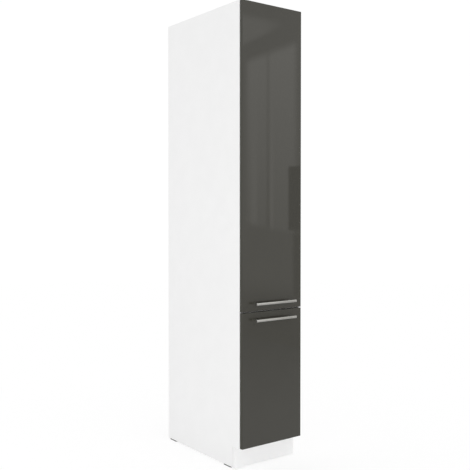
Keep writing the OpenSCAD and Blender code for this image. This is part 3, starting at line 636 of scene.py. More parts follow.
@dataclass(frozen=True)
class CoatFinish(Finish):
    """Powder coat: a metallic pigment in a coat with visible orange peel."""

    metallic: float = 0.5
    gloss_drift: float = 0.08
    grain_size: float = 1.6 * MM
    grain_depth: float = 12 * MICRON
    flake_size: float = 0.25 * MM
    flake_share: float = 0.25
    flake_factor: float = 1.35
    rub_width: float = 0.6 * MM
    rub_share: float = 0.35
    rub_factor: float = 1.25

    def dress(self, sheet: SurfaceTree) -> dict[str, object]:
        """Adds the peel, the glitter of the pigment and worn edges.

        Args:
            sheet: The material's tree.

        Returns:
            The shader's inputs by name.
        """
        flakes = sheet.effect(Effect.FINE_PEEL, Size=self.flake_size)["Grain"]
        glitter = sheet.blend(flakes, self.toned(sheet), self.shade(self.flake_factor),
                              self.flake_share)
        return {
            "Metallic": self.metallic,
            "Base Color": self.rubbed(sheet, glitter),
            "Roughness": self.drifting(sheet, flakes),
            "Normal": sheet.relief(self.grain(sheet)["Height"]),
        }


@dataclass(frozen=True)
class MouldedFinish(Finish):
    """Moulded plastic or rubber: a fine spark-eroded grain and pale scuff marks."""

    gloss_drift: float = 0.12
    grain_size: float = 0.5 * MM
    grain_depth: float = 8 * MICRON
    scuff: float = 0.3
    scuff_size: float = 6 * MM
    scuff_lift: float = 0.04
    scuff_factor: float = 1.1
    clear_share: float = 0.0
    shine: float = 0.5

    def dress(self, sheet: SurfaceTree) -> dict[str, object]:
        """Adds the grain, the scuffs and, for clear rubber, light that passes through.

        Args:
            sheet: The material's tree.

        Returns:
            The shader's inputs by name.
        """
        grain = self.grain(sheet)
        marks = sheet.effect(Effect.HAIRLINES, Size=self.scuff_size)["Mask"]
        pale = shade_of(tuple(c + self.scuff_lift for c in self.colour), self.scuff_factor)
        return {
            "Base Color": sheet.blend(marks, self.toned(sheet), pale, self.scuff),
            "Roughness": self.drifting(sheet, grain["Grain"]),
            "Transmission Weight": self.clear_share,
            "Specular IOR Level": self.shine,
            "Normal": sheet.relief(grain["Height"]),
        }


@dataclass(frozen=True)
class WoodFinish(Finish):
    """Turned beech: short darker flecks and rings along the dowel."""

    dark: Colour = paint(176, 132, 88)
    grain_size: float = 0.5 * MM
    grain_depth: float = 20 * MICRON

    def dress(self, sheet: SurfaceTree) -> dict[str, object]:
        """Adds the grain as colour and as fine furrows.

        Args:
            sheet: The material's tree.

        Returns:
            The shader's inputs by name.
        """
        grain = sheet.effect(Effect.BRUSH_LINES, Stretch=Run.ACROSS.value,
                             Size=self.grain_size, Depth=self.grain_depth)
        return {
            "Base Color": sheet.blend(grain["Lines"], self.shade(), shade_of(self.dark)),
            "Normal": sheet.relief(grain["Height"]),
        }


WHITE_BOARD = BoardFinish("white_melamine", paint(243, 243, 243), 0.42, tone_share=0.012)
WHITE_BACK = BoardFinish("white_backing", paint(238, 238, 237), 0.55, tone_share=0.02,
                         grain_size=1.6 * MM, grain_depth=14 * MICRON)
WHITE_EDGE = BoardFinish("white_melamine", paint(244, 244, 244), 0.34, tone_share=0.01,
                         grain_size=0.6 * MM, grain_depth=3 * MICRON, name="white_edge_band")
GREY_GLOSS = LacquerFinish("grey_gloss_lacquer", paint(54.5, 53, 46.5), 0.3,
                           tone_size=150 * MM)
GREY_EDGE = MouldedFinish("grey_gloss_lacquer", paint(62, 61, 54), 0.42, scuff=0.08,
                          shine=0.25, name="grey_edge_band")
GREY_MATT = BoardFinish("grey_gloss_lacquer", paint(86, 85, 81), 0.5, rub_factor=1.2,
                        name="grey_rear_laminate")
SATIN_STEEL = MetalFinish("satin_steel", paint(200, 199, 195), 0.28, run=Run.ACROSS)
SATIN_POST = MetalFinish("satin_steel", paint(200, 199, 195), 0.28, run=Run.DEEP,
                         name="satin_steel_post")
ZINC_RAIL = MetalFinish("zinc_steel", paint(190, 193, 196), 0.3, run=Run.DEEP,
                        bloom_size=5 * MM, bloom_tint=(1.0, 0.98, 0.93), rub_width=0.5 * MM,
                        name="zinc_steel_rail")
ZINC_SMALL = MetalFinish("zinc_steel", paint(196, 199, 203), 0.26, bloom_size=2 * MM,
                         bloom_tint=(1.0, 0.97, 0.88))
ZINC_CAST = MetalFinish("zinc_casting", paint(168, 170, 172), 0.42, bloom_size=1.5 * MM,
                        bloom_tint=(0.9, 0.9, 0.9))
CHROME = MetalFinish("chrome_wire", paint(222, 225, 229), 0.09, tone_size=40 * MM)
BEARING = MetalFinish("bearing_steel", paint(198, 200, 203), 0.18, tone_size=20 * MM)
SILVER_COAT = CoatFinish("silver_powder_coat", paint(168, 171, 174), 0.42)
NYLON = MouldedFinish("white_nylon", paint(236, 236, 230), 0.45, scuff=0.1)
BLACK_PLASTIC = MouldedFinish("black_plastic", paint(20, 20, 21), 0.55, scuff=0.12, shine=0.2)
CLEAR_RUBBER = MouldedFinish("clear_rubber", paint(228, 228, 222), 0.3, scuff=0.0,
                             clear_share=0.5)
BEECH = WoodFinish("beech", paint(214, 176, 128), 0.6)

SLOT_FINISHES = (WHITE_BOARD, WHITE_BACK, GREY_GLOSS, SATIN_STEEL, ZINC_SMALL, ZINC_CAST, CHROME,
                 BEARING, SILVER_COAT, NYLON, BLACK_PLASTIC, CLEAR_RUBBER, BEECH)
NODE_FINISHES = {
    ZINC_RAIL: ("slide_base", "outer_rails", "mid_rails", "inner_rails", "guide_rail"),
    SATIN_POST: ("handle_posts",),
}


class PaintShop:
    """Makes each finish's material once, and dresses the nodes carried over from the frame."""

    def __init__(self) -> None:
        """Starts with no material made."""
        self.effects = EffectGroups()
        self._made: dict[Finish, Material] = {}

    def material(self, finish: Finish) -> Material:
        """Gives a finish's material, and makes it the first time.

        Args:
            finish: The finish.

        Returns:
            The material.
        """
        if finish not in self._made:
            self._made[finish] = finish.material(self.effects)
        return self._made[finish]

    def dress_nodes(self) -> None:
        """Gives every node of the frame the finish of its slot, or its own where it has one."""
        by_slot = {finish.slot: finish for finish in SLOT_FINISHES}
        for name, node in sorted(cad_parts.items()):
            own = [f for f, ends in NODE_FINISHES.items() if name.endswith(ends)]
            for place, worn in enumerate(node.material_slots):
                finish = own[0] if own else by_slot[worn.material.name.split(".")[0]]
                node.data.materials[place] = self.material(finish)
        log.info("dressed %d nodes of the frame", len(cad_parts))


# ---- Making pieces ----


def circle(sides: int) -> list[Pair]:
    """Gives the cosines and sines of even steps round a circle."""
    turns = (2 * math.pi * k / sides for k in range(sides))
    return [(math.cos(turn), math.sin(turn)) for turn in turns]


def mirrored(length: float, start: Sequence[Pair]) -> list[Pair]:
    """Gives the profile of a turned piece of a length, whose far end mirrors its start."""
    return [*start, *((length - far, radius) for far, radius in reversed(start))]


def cube_mesh(low: Vector, high: Vector) -> bmesh.types.BMesh:
    """Makes a plain block between its lowest and its highest corner.

    Args:
        low: Its lowest corner.
        high: Its highest corner.

    Returns:
        The block, still to be eased and taken into a draft.
    """
    work = bmesh.new()
    bmesh.ops.create_cube(work, size=1.0)
    middle, size = (low + high) / 2, high - low
    for vertex in work.verts:
        vertex.co = Vector(m + c * s for m, c, s in zip(middle, vertex.co, size))
    return work


def ease(work: bmesh.types.BMesh, edges: Sequence[bmesh.types.BMEdge], radius: float,
         steps: int = 2, clamp: bool = False) -> None:
    """Rounds some edges of a bmesh.

    Args:
        work: The bmesh.
        edges: The edges.
        radius: The rounding's radius.
        steps: How many faces the rounding has.
        clamp: Whether the radius is made smaller where two roundings would meet.
    """
    bmesh.ops.bevel(work, geom=edges, offset=radius, segments=steps, profile=0.5,
                    affect="EDGES", clamp_overlap=clamp)


def placed(name: str, data: bpy.types.ID) -> Object:
    """Makes an object of some data and links it to the scene.

    Args:
        name: The object's name.
        data: Its mesh, lamp or camera.

    Returns:
        The object.
    """
    made = bpy.data.objects.new(name, data)
    bpy.context.scene.collection.objects.link(made)
    return made


class Draft:
    """The points and faces of one piece while it is made."""

    def __init__(self) -> None:
        """Starts empty."""
        self.points: list[Vector] = []
        self.faces: list[tuple[int, ...]] = []

    def rings(self, rows: Sequence[Sequence[Vector]], closed: bool = False) -> None:
        """Joins rows of points, each a ring, into a skin.

        Args:
            rows: The rings, with as many points each.
            closed: Whether the last ring joins the first; if not, both ends are capped.
        """
        sides = len(rows[0])
        start = len(self.points)
        self.points.extend(point for row in rows for point in row)
        for i in range(len(rows) if closed else len(rows) - 1):
            here, there = start + i * sides, start + (i + 1) % len(rows) * sides
            for k in range(sides):
                follow = (k + 1) % sides
                self.faces.append((here + k, here + follow, there + follow, there + k))
        if not closed:
            last = start + (len(rows) - 1) * sides
            self.faces.append(tuple(start + k for k in reversed(range(sides))))
            self.faces.append(tuple(last + k for k in range(sides)))

    def turned(self, start: Vector, along: Vector, profile: Sequence[Pair], sides: int) -> None:
        """Adds a turned piece.

        Args:
            start: The point where its axis starts.
            along: The axis's direction.
            profile: Pairs of a distance along the axis and the radius there.
            sides: How many faces it has round its axis.
        """
        axis = along.normalized()
        side = axis.orthogonal().normalized()
        other = axis.cross(side)
        self.rings([[start + axis * far + radius * (c * side + s * other)
                     for c, s in circle(sides)] for far, radius in profile])

    def rod(self, start: Vector, end: Vector, radius: float, sides: int = 12,
            trim_share: float = 0.35, trim_round: float = 0.3) -> None:
        """Adds a straight wire whose sheared ends are a little rounded.

        Args:
            start: The middle of one end.
            end: The middle of the other end.
            radius: Its radius.
            sides: How many faces it has round its axis.
            trim_share: The rounding of its ends, as a share of the radius.
            trim_round: Where the rounding has its middle step, as a share of it.
        """
        trim = radius * trim_share
        ends = [(0.0, radius - trim), (trim * trim_round, radius - trim * trim_round),
                (trim, radius)]
        self.turned(start, end - start, mirrored((end - start).length, ends), sides)

    def bead(self, centre: Vector, along: Vector, size: Pair, sides: int = 8,
             steps: int = 5) -> None:
        """Adds the small bead that a spot weld leaves.

        Args:
            centre: Its middle.
            along: The direction in which it is longer.
            size: Its length and its radius.
            sides: How many faces it has round its length.
            steps: How many steps its outline has from tip to tip.
        """
        length, radius = size
        turns = [math.pi * k / steps for k in range(1, steps)]
        profile = [(length / 2 * (1 - math.cos(t)), radius * math.sin(t)) for t in turns]
        self.turned(centre - along.normalized() * length / 2, along, profile, sides)

    def loop(self, centres: Sequence[Vector], radius: float, sides: int = 14) -> None:
        """Adds a closed wire that lies flat.

        Args:
            centres: The points of its centreline, in order.
            radius: The wire's radius.
            sides: How many faces it has round the wire.
        """
        up = Vector((0, 0, 1))
        rows = []
        for i, point in enumerate(centres):
            ahead = (centres[(i + 1) % len(centres)] - centres[i - 1]).normalized()
            out = ahead.cross(up)
            rows.append([point + radius * (c * out + s * up) for c, s in circle(sides)])
        self.rings(rows, closed=True)

    def block(self, low: Vector, high: Vector, round_by: float = 0.0) -> None:
        """Adds a block.

        Args:
            low: Its lowest corner.
            high: Its highest corner.
            round_by: The radius of all its edges; 0 leaves them sharp.
        """
        work = cube_mesh(low, high)
        if round_by:
            ease(work, work.edges[:], round_by, clamp=True)
        self.take(work)

    def take(self, work: bmesh.types.BMesh) -> None:
        """Adds all of a bmesh.

        Args:
            work: The finished bmesh, which is freed.
        """
        start = len(self.points)
        work.verts.index_update()
        self.points.extend(vertex.co.copy() for vertex in work.verts)
        self.faces.extend(tuple(start + v.index for v in face.verts) for face in work.faces)
        work.free()

    def piece(self, name: str, material: Material, sharp_deg: float = 40.0,
              even: bool = False) -> Object:
        """Makes the piece.

        Args:
            name: The piece's name.
            material: Its material.
            sharp_deg: Edges that turn by more than this stay sharp.
            even: Whether large flat faces keep their own normal beside small rounded ones.

        Returns:
            The new object, linked to the scene.
        """
        mesh = bpy.data.meshes.new(name)
        mesh.from_pydata(self.points, [], self.faces)
        mesh.validate()
        mesh.materials.append(material)
        mesh.shade_smooth()
        mesh.set_sharp_from_angle(angle=math.radians(sharp_deg))
        made = placed(name, mesh)
        if even:
            made.modifiers.new("even_faces", "WEIGHTED_NORMAL").keep_sharp = True
        return made


def fit(piece: Object, body: str, finish: Finish, *nodes: str) -> None:
    """Fastens a finished piece to a body of the frame.

    Args:
        piece: The piece, in place.
        body: The body that it moves with.
        finish: Its finish. It is not used.
        *nodes: The nodes that it stands for.
    """
    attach(piece, body)
    if nodes:
        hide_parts(*nodes)
    log.info("made %s with %d faces, on %s", piece.name, len(piece.data.polygons), body)


def band_edges(board: Object, band: Material, turn: float = 0.25) -> None:
    """Gives a board's narrow faces the material of its edge band.

    Args:
        board: The board, which faces the front.
        band: The band's material.
        turn: How far a face may lean to the front or the rear and still be banded.
    """
    board.data.materials.append(band)
    for face in board.data.polygons:
        face.material_index = int(abs(face.normal.y) < turn)


class Level(Enum):
    """The two pull-outs, one over the other."""

    UPPER = "upper"
    LOWER = "lower"

    @property
    def body(self) -> str:
        """The body that the pull-out's pieces move with."""
        return f"{self.value}_pullout"


# ---- The object ----


@dataclass
class EdgeBands:
    """The bands glued over the front edges of the cabinet's boards."""

    shop: PaintShop
    body: str = "carcass"
    boards: tuple[str, ...] = ("side_panel_left", "side_panel_right", "top_panel",
                               "divider_panel", "bottom_panel")
    thickness: float = 0.8 * MM
    round_by: float = 0.35 * MM
    inset: float = 0.05 * MM

    def build(self) -> None:
        """Makes a band on the front edge of each board; the sides' end over the plinth."""
        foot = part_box("bottom_panel")[0].z
        for board in self.boards:
            low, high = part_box(board)
            bottom = max(foot, low.z)
            draft = Draft()
            draft.block(Vector((low.x + self.inset, low.y - self.thickness, bottom + self.inset)),
                        Vector((high.x - self.inset, low.y + self.thickness, high.z - self.inset)),
                        self.round_by)
            band = draft.piece(f"edge_band_{board}", self.shop.material(WHITE_EDGE), even=True)
            fit(band, self.body, WHITE_EDGE)


@dataclass
class PlinthFace:
    """The outer plinth board, which runs the full width in front of the sides' cut edges."""

    shop: PaintShop
    body: str = "carcass"
    thickness: float = 16.0 * MM
    joint: float = 0.8 * MM
    end_play: float = 0.3 * MM
    top_play: float = 0.5 * MM
    round_by: float = 0.8 * MM

    def build(self) -> None:
        """Makes the board, with a pad behind it that lies on the board between the sides."""
        low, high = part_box("plinth_board")
        left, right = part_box("side_panel_left")[0].x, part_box("side_panel_right")[1].x
        rear = low.y - self.joint
        draft = Draft()
        draft.block(Vector((left + self.end_play, low.y - self.thickness, low.z)),
                    Vector((right - self.end_play, rear, high.z - self.top_play)), self.round_by)
        draft.block(Vector((low.x, rear - self.joint, low.z + self.round_by)),
                    Vector((high.x, low.y, high.z - self.top_play - self.round_by)))
        board = draft.piece("plinth_face_board", self.shop.material(WHITE_BOARD), even=True)
        band_edges(board, self.shop.material(WHITE_EDGE))
        fit(board, self.body, WHITE_BOARD)


@dataclass
class GlossFront:
    """A lacquered front: rounded front edges, duller edge bands and a matt laminate behind."""

    shop: PaintShop
    level: Level
    edge_r: float = 1.5 * MM
    edge_steps: int = 5
    rear_edge_r: float = 0.4 * MM
    skin: float = 0.3 * MM
    sharp_deg: float = 50.0

    def build(self) -> None:
        """Makes the slab and the laminate, in the place of the frame's front."""
        node = f"{self.level.value}_front"
        low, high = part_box(node)
        slab_rear = high.y - self.skin
        slab = self._slab(low, Vector((high.x, slab_rear, high.z))).piece(
            f"{node}_slab", self.shop.material(GREY_GLOSS), self.sharp_deg, even=True)
        band_edges(slab, self.shop.material(GREY_EDGE))
        fit(slab, self.level.body, GREY_GLOSS, node)
        rear = Draft()
        inset = self.rear_edge_r
        rear.block(Vector((low.x + inset, slab_rear - self.skin, low.z + inset)),
                   Vector((high.x - inset, high.y, high.z - inset)), self.skin / 2)
        sheet = rear.piece(f"{node}_rear_laminate", self.shop.material(GREY_MATT), even=True)
        fit(sheet, self.level.body, GREY_MATT)

    def _slab(self, low: Vector, high: Vector) -> Draft:
        """Drafts the slab, with its four front edges rounded more than the rear ones.

        Args:
            low: The slab's lowest corner.
            high: Its highest corner.

        Returns:
            The draft.
        """
        work = cube_mesh(low, high)
        middle = (low.y + high.y) / 2
        front = [e for e in work.edges if all(v.co.y < middle for v in e.verts)]
        ease(work, front, self.edge_r, self.edge_steps)
        rear = [e for e in work.edges if all(v.co.y > high.y - self.skin for v in e.verts)]
        ease(work, rear, self.rear_edge_r)
        draft = Draft()
        draft.take(work)
        return draft


@dataclass
class BarHandle:
    """A round bar of satin steel with its ends faced and chamfered, with a soft knee."""

    shop: PaintShop
    level: Level
    chamfer: float = 0.7 * MM
    chamfer_knee: Pair = (0.3, 0.35)
    sides: int = 48
    sharp_deg: float = 30.0

    def build(self) -> None:
        """Makes the bar in the place of the frame's bar."""
        node = f"{self.level.value}_handle_bar"
        low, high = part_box(node)
        middle, radius, cut = (low + high) / 2, (high.z - low.z) / 2, self.chamfer
        knee = (cut * self.chamfer_knee[0], radius - cut * self.chamfer_knee[1])
        ends = [(0.0, radius / 2), (0.0, radius - cut), knee, (cut, radius)]
        draft = Draft()
        draft.turned(Vector((low.x, middle.y, middle.z)), Vector((1, 0, 0)),
                     mirrored(high.x - low.x, ends), self.sides)
        bar = draft.piece(f"{node}_turned", self.shop.material(SATIN_STEEL), self.sharp_deg)
        fit(bar, self.level.body, SATIN_STEEL, node)


@dataclass
class WireBasket:
    """A welded basket of chromed wire: loops, upright wires, a wire floor and hook plates."""

    shop: PaintShop
    level: Level
    number: int
    loop_d: float = 5 * MM
    stave_d: float = 4 * MM
    floor_d: float = 3 * MM
    support_d: float = 4 * MM
    weld: float = 0.3 * MM
    support_bead: Pair = (5 * MM, 1.1 * MM)
    floor_bead: Pair = (4.2 * MM, 1.0 * MM)
    end_bead: Pair = (4.6 * MM, 1.2 * MM)
    stave_bead: Pair = (5.2 * MM, 1.2 * MM)
    corner_r: float = 30 * MM
    corner_steps: int = 10
    height: float = 105 * MM
    floor_pitch: float = 26 * MM
    count_slack: float = 1e-6
    side_staves: int = 5
    end_stave_share: float = 0.32
    stave_top_share: float = 0.25
    support_shares: tuple[float, ...] = (-0.27, 0.0, 0.27)
    hook_w: float = 44 * MM
    hook_t: float = 2 * MM
    hook_edge: float = 0.5 * MM
    tab_w: float = 14 * MM
    tab_h: float = 2 * MM
    tab_lip: float = 5 * MM
    tab_edge: float = 0.25 * MM
    upright_t: float = 1.5 * MM
    seat: float = 0.1 * MM
    first_slot: float = 30 * MM
    slot_pitch: float = 35 * MM
    tabs: int = 2
    sharp_deg: float = 50.0
    draft: Draft = field(default_factory=Draft)

    def __post_init__(self) -> None:
        """Takes the wire work's width, length and place from the frame's basket."""
        self.node = f"{self.level.value}_basket_{self.number}"
        low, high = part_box(self.node)
        reach = 2 * self.seat + self.upright_t + 2 * self.hook_t - self.weld
        self.width = high.x - low.x
        self.length = high.y - low.y - 2 * reach
        self.straight = self.length - 2 * self.corner_r - 2 * self.loop_d
        self.centre = Vector(((low.x + high.x) / 2, (low.y + high.y) / 2, low.z))
        self.loop_heights = (self.support_d - self.weld + self.loop_d / 2, self.height / 2,
                             self.height - self.loop_d / 2)

    def build(self) -> None:
        """Makes the basket in the place of the frame's basket."""
        self._loops()
        self._floor()
        self._staves()
        self._hooks()
        basket = self.draft.piece(f"{self.node}_wires", self.shop.material(CHROME),
                                  self.sharp_deg)
        fit(basket, self.level.body, CHROME, self.node)

    def at(self, x: float, y: float, z: float) -> Vector:
        """Gives a point of the basket, from the middle of its underside."""
        return self.centre + Vector((x, y, z))

    def _loops(self) -> None:
        """Adds the three loops with rounded corners."""
        half_x = (self.width - self.loop_d) / 2 - self.corner_r
        half_y = (self.length - self.loop_d) / 2 - self.corner_r
        corners = ((half_x, half_y), (-half_x, half_y), (-half_x, -half_y), (half_x, -half_y))
        for z in self.loop_heights:
            line = []
            for quarter, (x, y) in enumerate(corners):
                for step in range(self.corner_steps + 1):
                    turn = math.pi / 2 * (quarter + step / self.corner_steps)
                    line.append(self.at(x + self.corner_r * math.cos(turn),
                                        y + self.corner_r * math.sin(turn), z))
            self.draft.loop(line, self.loop_d / 2)

    def _floor(self) -> None:
        """Adds the cross wires of the floor and the supports under them, with their welds."""
        wire_z = self.support_d + self.floor_d / 2 - self.weld
        weld_z = self.support_d - self.weld / 2
        half_wire = self.width / 2 - self.loop_d + 2 * self.weld
        half_support = (self.length - self.loop_d) / 2
        count = math.floor(self.straight / self.floor_pitch + self.count_slack)
        support_xs = [share * self.width for share in self.support_shares]
        across, deep = Vector((1, 0, 0)), Vector((0, 1, 0))
        for x in support_xs:
            self.draft.rod(self.at(x, -half_support, self.support_d / 2),
                           self.at(x, half_support, self.support_d / 2), self.support_d / 2)
            for end in (-1, 1):
                self.draft.bead(self.at(x, end * half_support, weld_z), across,
                                self.support_bead)
        for i in range(count + 1):
            y = (i - count / 2) * self.floor_pitch
            self.draft.rod(self.at(-half_wire, y, wire_z), self.at(half_wire, y, wire_z),
                           self.floor_d / 2)
            for x in support_xs:
                self.draft.bead(self.at(x, y, weld_z), deep, self.floor_bead)
            for end in (-1, 1):
                self.draft.bead(self.at(end * half_wire, y, wire_z), deep, self.end_bead)

    def _staves(self) -> None:
        """Adds the upright wires inside the loops, welded to each of them."""
        inward = self.loop_d + self.stave_d / 2 - self.weld
        foot = self.loop_heights[0] - self.loop_d / 2 + self.stave_d / 2
        top = self.height - self.loop_d * self.stave_top_share
        step = self.straight / self.side_staves
        places = [(side * (self.width / 2 - inward), (i - (self.side_staves - 1) / 2) * step,
                   Vector((side, 0, 0))) for side in (-1, 1) for i in range(self.side_staves)]
        places += [(side * self.end_stave_share * self.width, end * (self.length / 2 - inward),
                    Vector((0, end, 0))) for side in (-1, 1) for end in (-1, 1)]
        upright = Vector((0, 0, 1))
        for x, y, outward in places:
            self.draft.rod(self.at(x, y, foot), self.at(x, y, top), self.stave_d / 2)
            for z in self.loop_heights:
                touch = self.at(x, y, z) + outward * (self.stave_d / 2 - self.weld / 2)
                self.draft.bead(touch, upright.cross(outward), self.stave_bead)

    def _hooks(self) -> None:
        """Adds the hook plates at both ends, with the tabs that reach through the slots."""
        for end in (-1, 1):
            face = end * (self.length / 2 - self.weld)
            back = face + end * self.hook_t
            lip_near = back + end * (2 * self.seat + self.upright_t)
            tip = lip_near + end * self.hook_t
            self._plate(self.hook_w, (face, back),
                        (self.support_d / 2, self.height - self.support_d / 2), self.hook_edge)
            for k in range(self.tabs):
                z = self.first_slot + k * self.slot_pitch
                self._plate(self.tab_w, (face, tip), (z, z + self.tab_h), self.tab_edge)
                self._plate(self.tab_w, (lip_near, tip), (z - self.tab_lip, z + self.tab_h),
                            self.tab_edge)

    def _plate(self, width: float, ys: Pair, zs: Pair, edge: float) -> None:
        """Adds a plate of a width, between pairs of Y and Z, with its edges eased."""
        self.draft.block(self.at(-width / 2, min(ys), zs[0]), self.at(width / 2, max(ys), zs[1]),
                         edge)


@dataclass
class LarderUnit:
    """The whole unit: the cabinet's trim and, for each level, its front, handle and baskets."""

    shop: PaintShop
    basket_counts: dict[Level, int] = field(
        default_factory=lambda: {Level.UPPER: 4, Level.LOWER: 2})

    def build(self) -> None:
        """Dresses the frame and builds the pieces that stand for its plainer nodes."""
        self.shop.dress_nodes()
        EdgeBands(self.shop).build()
        PlinthFace(self.shop).build()
        for level, count in self.basket_counts.items():
            GlossFront(self.shop, level).build()
            BarHandle(self.shop, level).build()
            for number in range(1, count + 1):
                WireBasket(self.shop, level, number).build()


# ---- The studio ----


@dataclass(frozen=True)
class Viewpoint:
    """The photograph's viewpoint: left of the front and a little over the middle."""

    place: Point = (-2.12593, -2.85136, 1.16379)
    heading_deg: float = 36.76
    tilt_deg: float = 1.11
    lens_px: float = 728.15
    picture_px: float = 470.0
    sensor_mm: float = 36.0
    shift_y: float = -0.02
    reach: float = 100.0

    def build(self) -> None:
        """Makes the camera and hands it to the scene."""
        data = bpy.data.cameras.new("viewpoint")
        data.sensor_width = self.sensor_mm
        data.lens = self.lens_px / self.picture_px * self.sensor_mm
        data.shift_y = self.shift_y
        data.clip_end = self.reach
        camera = placed("viewpoint", data)
        camera.location = self.place
        camera.rotation_euler = (math.radians(90 - self.tilt_deg), 0.0,
                                 -math.radians(self.heading_deg))
        bpy.context.scene.camera = camera


@dataclass(frozen=True)
class Sky:
    """An even sky: white where it is seen, and a plain level for the light that it gives."""

    level: float = 0.94
    seen_level: float = 1.01

    def build(self) -> None:
        """Makes the sky and hands it to the scene."""
        world = bpy.data.worlds.new("studio_sky")
        sheet = SurfaceTree(world)
        seen = sheet.math("MAXIMUM", *sheet.rays())
        strength = sheet.scaled(seen, self.seen_level - self.level, self.level)
        light = sheet.add("ShaderNodeBackground", {"Color": WHITE, "Strength": strength})
        sheet.finish(light.outputs[0], "ShaderNodeOutputWorld")
        bpy.context.scene.world = world


@dataclass(frozen=True)
class Floor:
    """A white floor that shows the object's faint shadow near it.

    Seen far away it is plain white. Nearer, a share of it is really lit, so that it keeps the
    shadow, and the rest glows by as much as keeps the whole white.
    """

    radius: float = 9.0
    sides: int = 64
    colour: Colour = (0.93, 0.93, 0.93)
    lit_level: float = 0.955
    shadow_share: float = 0.24
    shadow_reach: Pair = (0.75, 1.9)
    grain_size: float = 2.5 * MM
    grain_factor: float = 0.995
    # gloss_reach and gloss_levels set the painted reflection of the floor: the glow that gloss
    # sees instead of the lit floor.
    gloss_reach: Pair = (0.6, 3.8)
    gloss_levels: Pair = (0.69, 0.52)

    def build(self) -> None:
        """Makes the floor."""
        draft = Draft()
        draft.points = [Vector((self.radius * c, self.radius * s, 0))
                        for c, s in circle(self.sides)]
        draft.faces = [tuple(range(self.sides))]
        draft.piece("floor", self._material())

    def _material(self) -> Material:
        """Gives the floor's material.

        Returns:
            The material, which gloss sees as a glow that darkens away from the object, a painted
            reflection of a greyer floor, and other light as a matt floor.
        """
        made = bpy.data.materials.new("studio_floor")
        sheet = SurfaceTree(made)
        x, y, _ = sheet.axes(sheet.place())
        reach = sheet.math("SQRT", sheet.math("ADD", sheet.times(x, x), sheet.times(y, y)))
        share = sheet.span(reach, *self.shadow_reach, self.shadow_share, 0.0)
        tone = sheet.blend(sheet.noise(self.grain_size),
                           shade_of(self.colour, self.grain_factor), shade_of(self.colour))
        lit = sheet.add("ShaderNodeBsdfDiffuse", {"Color": tone}).outputs[0]
        rest = sheet.math("SUBTRACT", 1.0, sheet.times(share, self.colour[0] * self.lit_level))
        level = sheet.math("DIVIDE", rest, sheet.math("SUBTRACT", 1.0, share))
        camera, gloss = sheet.rays()
        seen = sheet.either(camera, lit, sheet.either(share, sheet.glow(level), lit))
        # What gloss sees of the floor is a painted reflection: a plain glow, darker further out.
        painted_floor_reflection = sheet.glow(sheet.span(reach, *self.gloss_reach, *self.gloss_levels))
        sheet.finish(sheet.either(gloss, seen, painted_floor_reflection))
        return made


@dataclass(frozen=True)
class Lamp:
    """A soft lamp: its place, the point that it looks at, its width and height, and its watts."""

    name: str
    place: Point
    aim: Point
    size: Pair
    power: float
    in_gloss: bool = True

    def build(self) -> None:
        """Makes the lamp, which the camera itself doesn't see."""
        data = bpy.data.lights.new(self.name, "AREA")
        data.shape = "RECTANGLE"
        data.size, data.size_y = self.size
        data.energy = self.power
        lamp = placed(self.name, data)
        lamp.location = self.place
        lamp.rotation_mode = "QUATERNION"
        lamp.rotation_quaternion = (Vector(self.aim) - Vector(self.place)).to_track_quat("-Z", "Y")
        lamp.visible_glossy = self.in_gloss
        lamp.visible_camera = False


@dataclass(frozen=True)
class Wall:
    """A wall that only gloss and glass show, darker near the floor and lighter up high."""

    name: str
    start: Pair
    end: Pair
    height: float = 3.6
    tint: Colour = (1.01, 1.0, 0.965)
    level: float = 0.78
    low_level: float = 0.5
    low_reach: Pair = (0.22, 0.6)
    high_lift: float = 0.05
    high_reach: Pair = (1.0, 2.7)

    def build(self) -> None:
        """Makes the wall."""
        feet, heads = ([Vector((*spot, z)) for spot in (self.start, self.end)]
                       for z in (0.0, self.height))
        draft = Draft()
        draft.points = [*feet, *reversed(heads)]
        draft.faces = [(0, 1, 2, 3)]
        made = bpy.data.materials.new(self.name)
        sheet = SurfaceTree(made)
        sheet.finish(sheet.glow(self.light(sheet), (*self.tint, 1.0)))
        card = draft.piece(self.name, made)
        card.visible_camera = card.visible_diffuse = card.visible_shadow = False

    def light(self, sheet: SurfaceTree) -> Socket:
        """Gives the wall's light at each height.

        Args:
            sheet: The wall's tree.

        Returns:
            The light's strength.
        """
        height = sheet.axes(sheet.place())[2]
        low = sheet.span(height, *self.low_reach, self.low_level, self.level)
        return sheet.math("ADD", low, sheet.span(height, *self.high_reach, 0.0, self.high_lift))


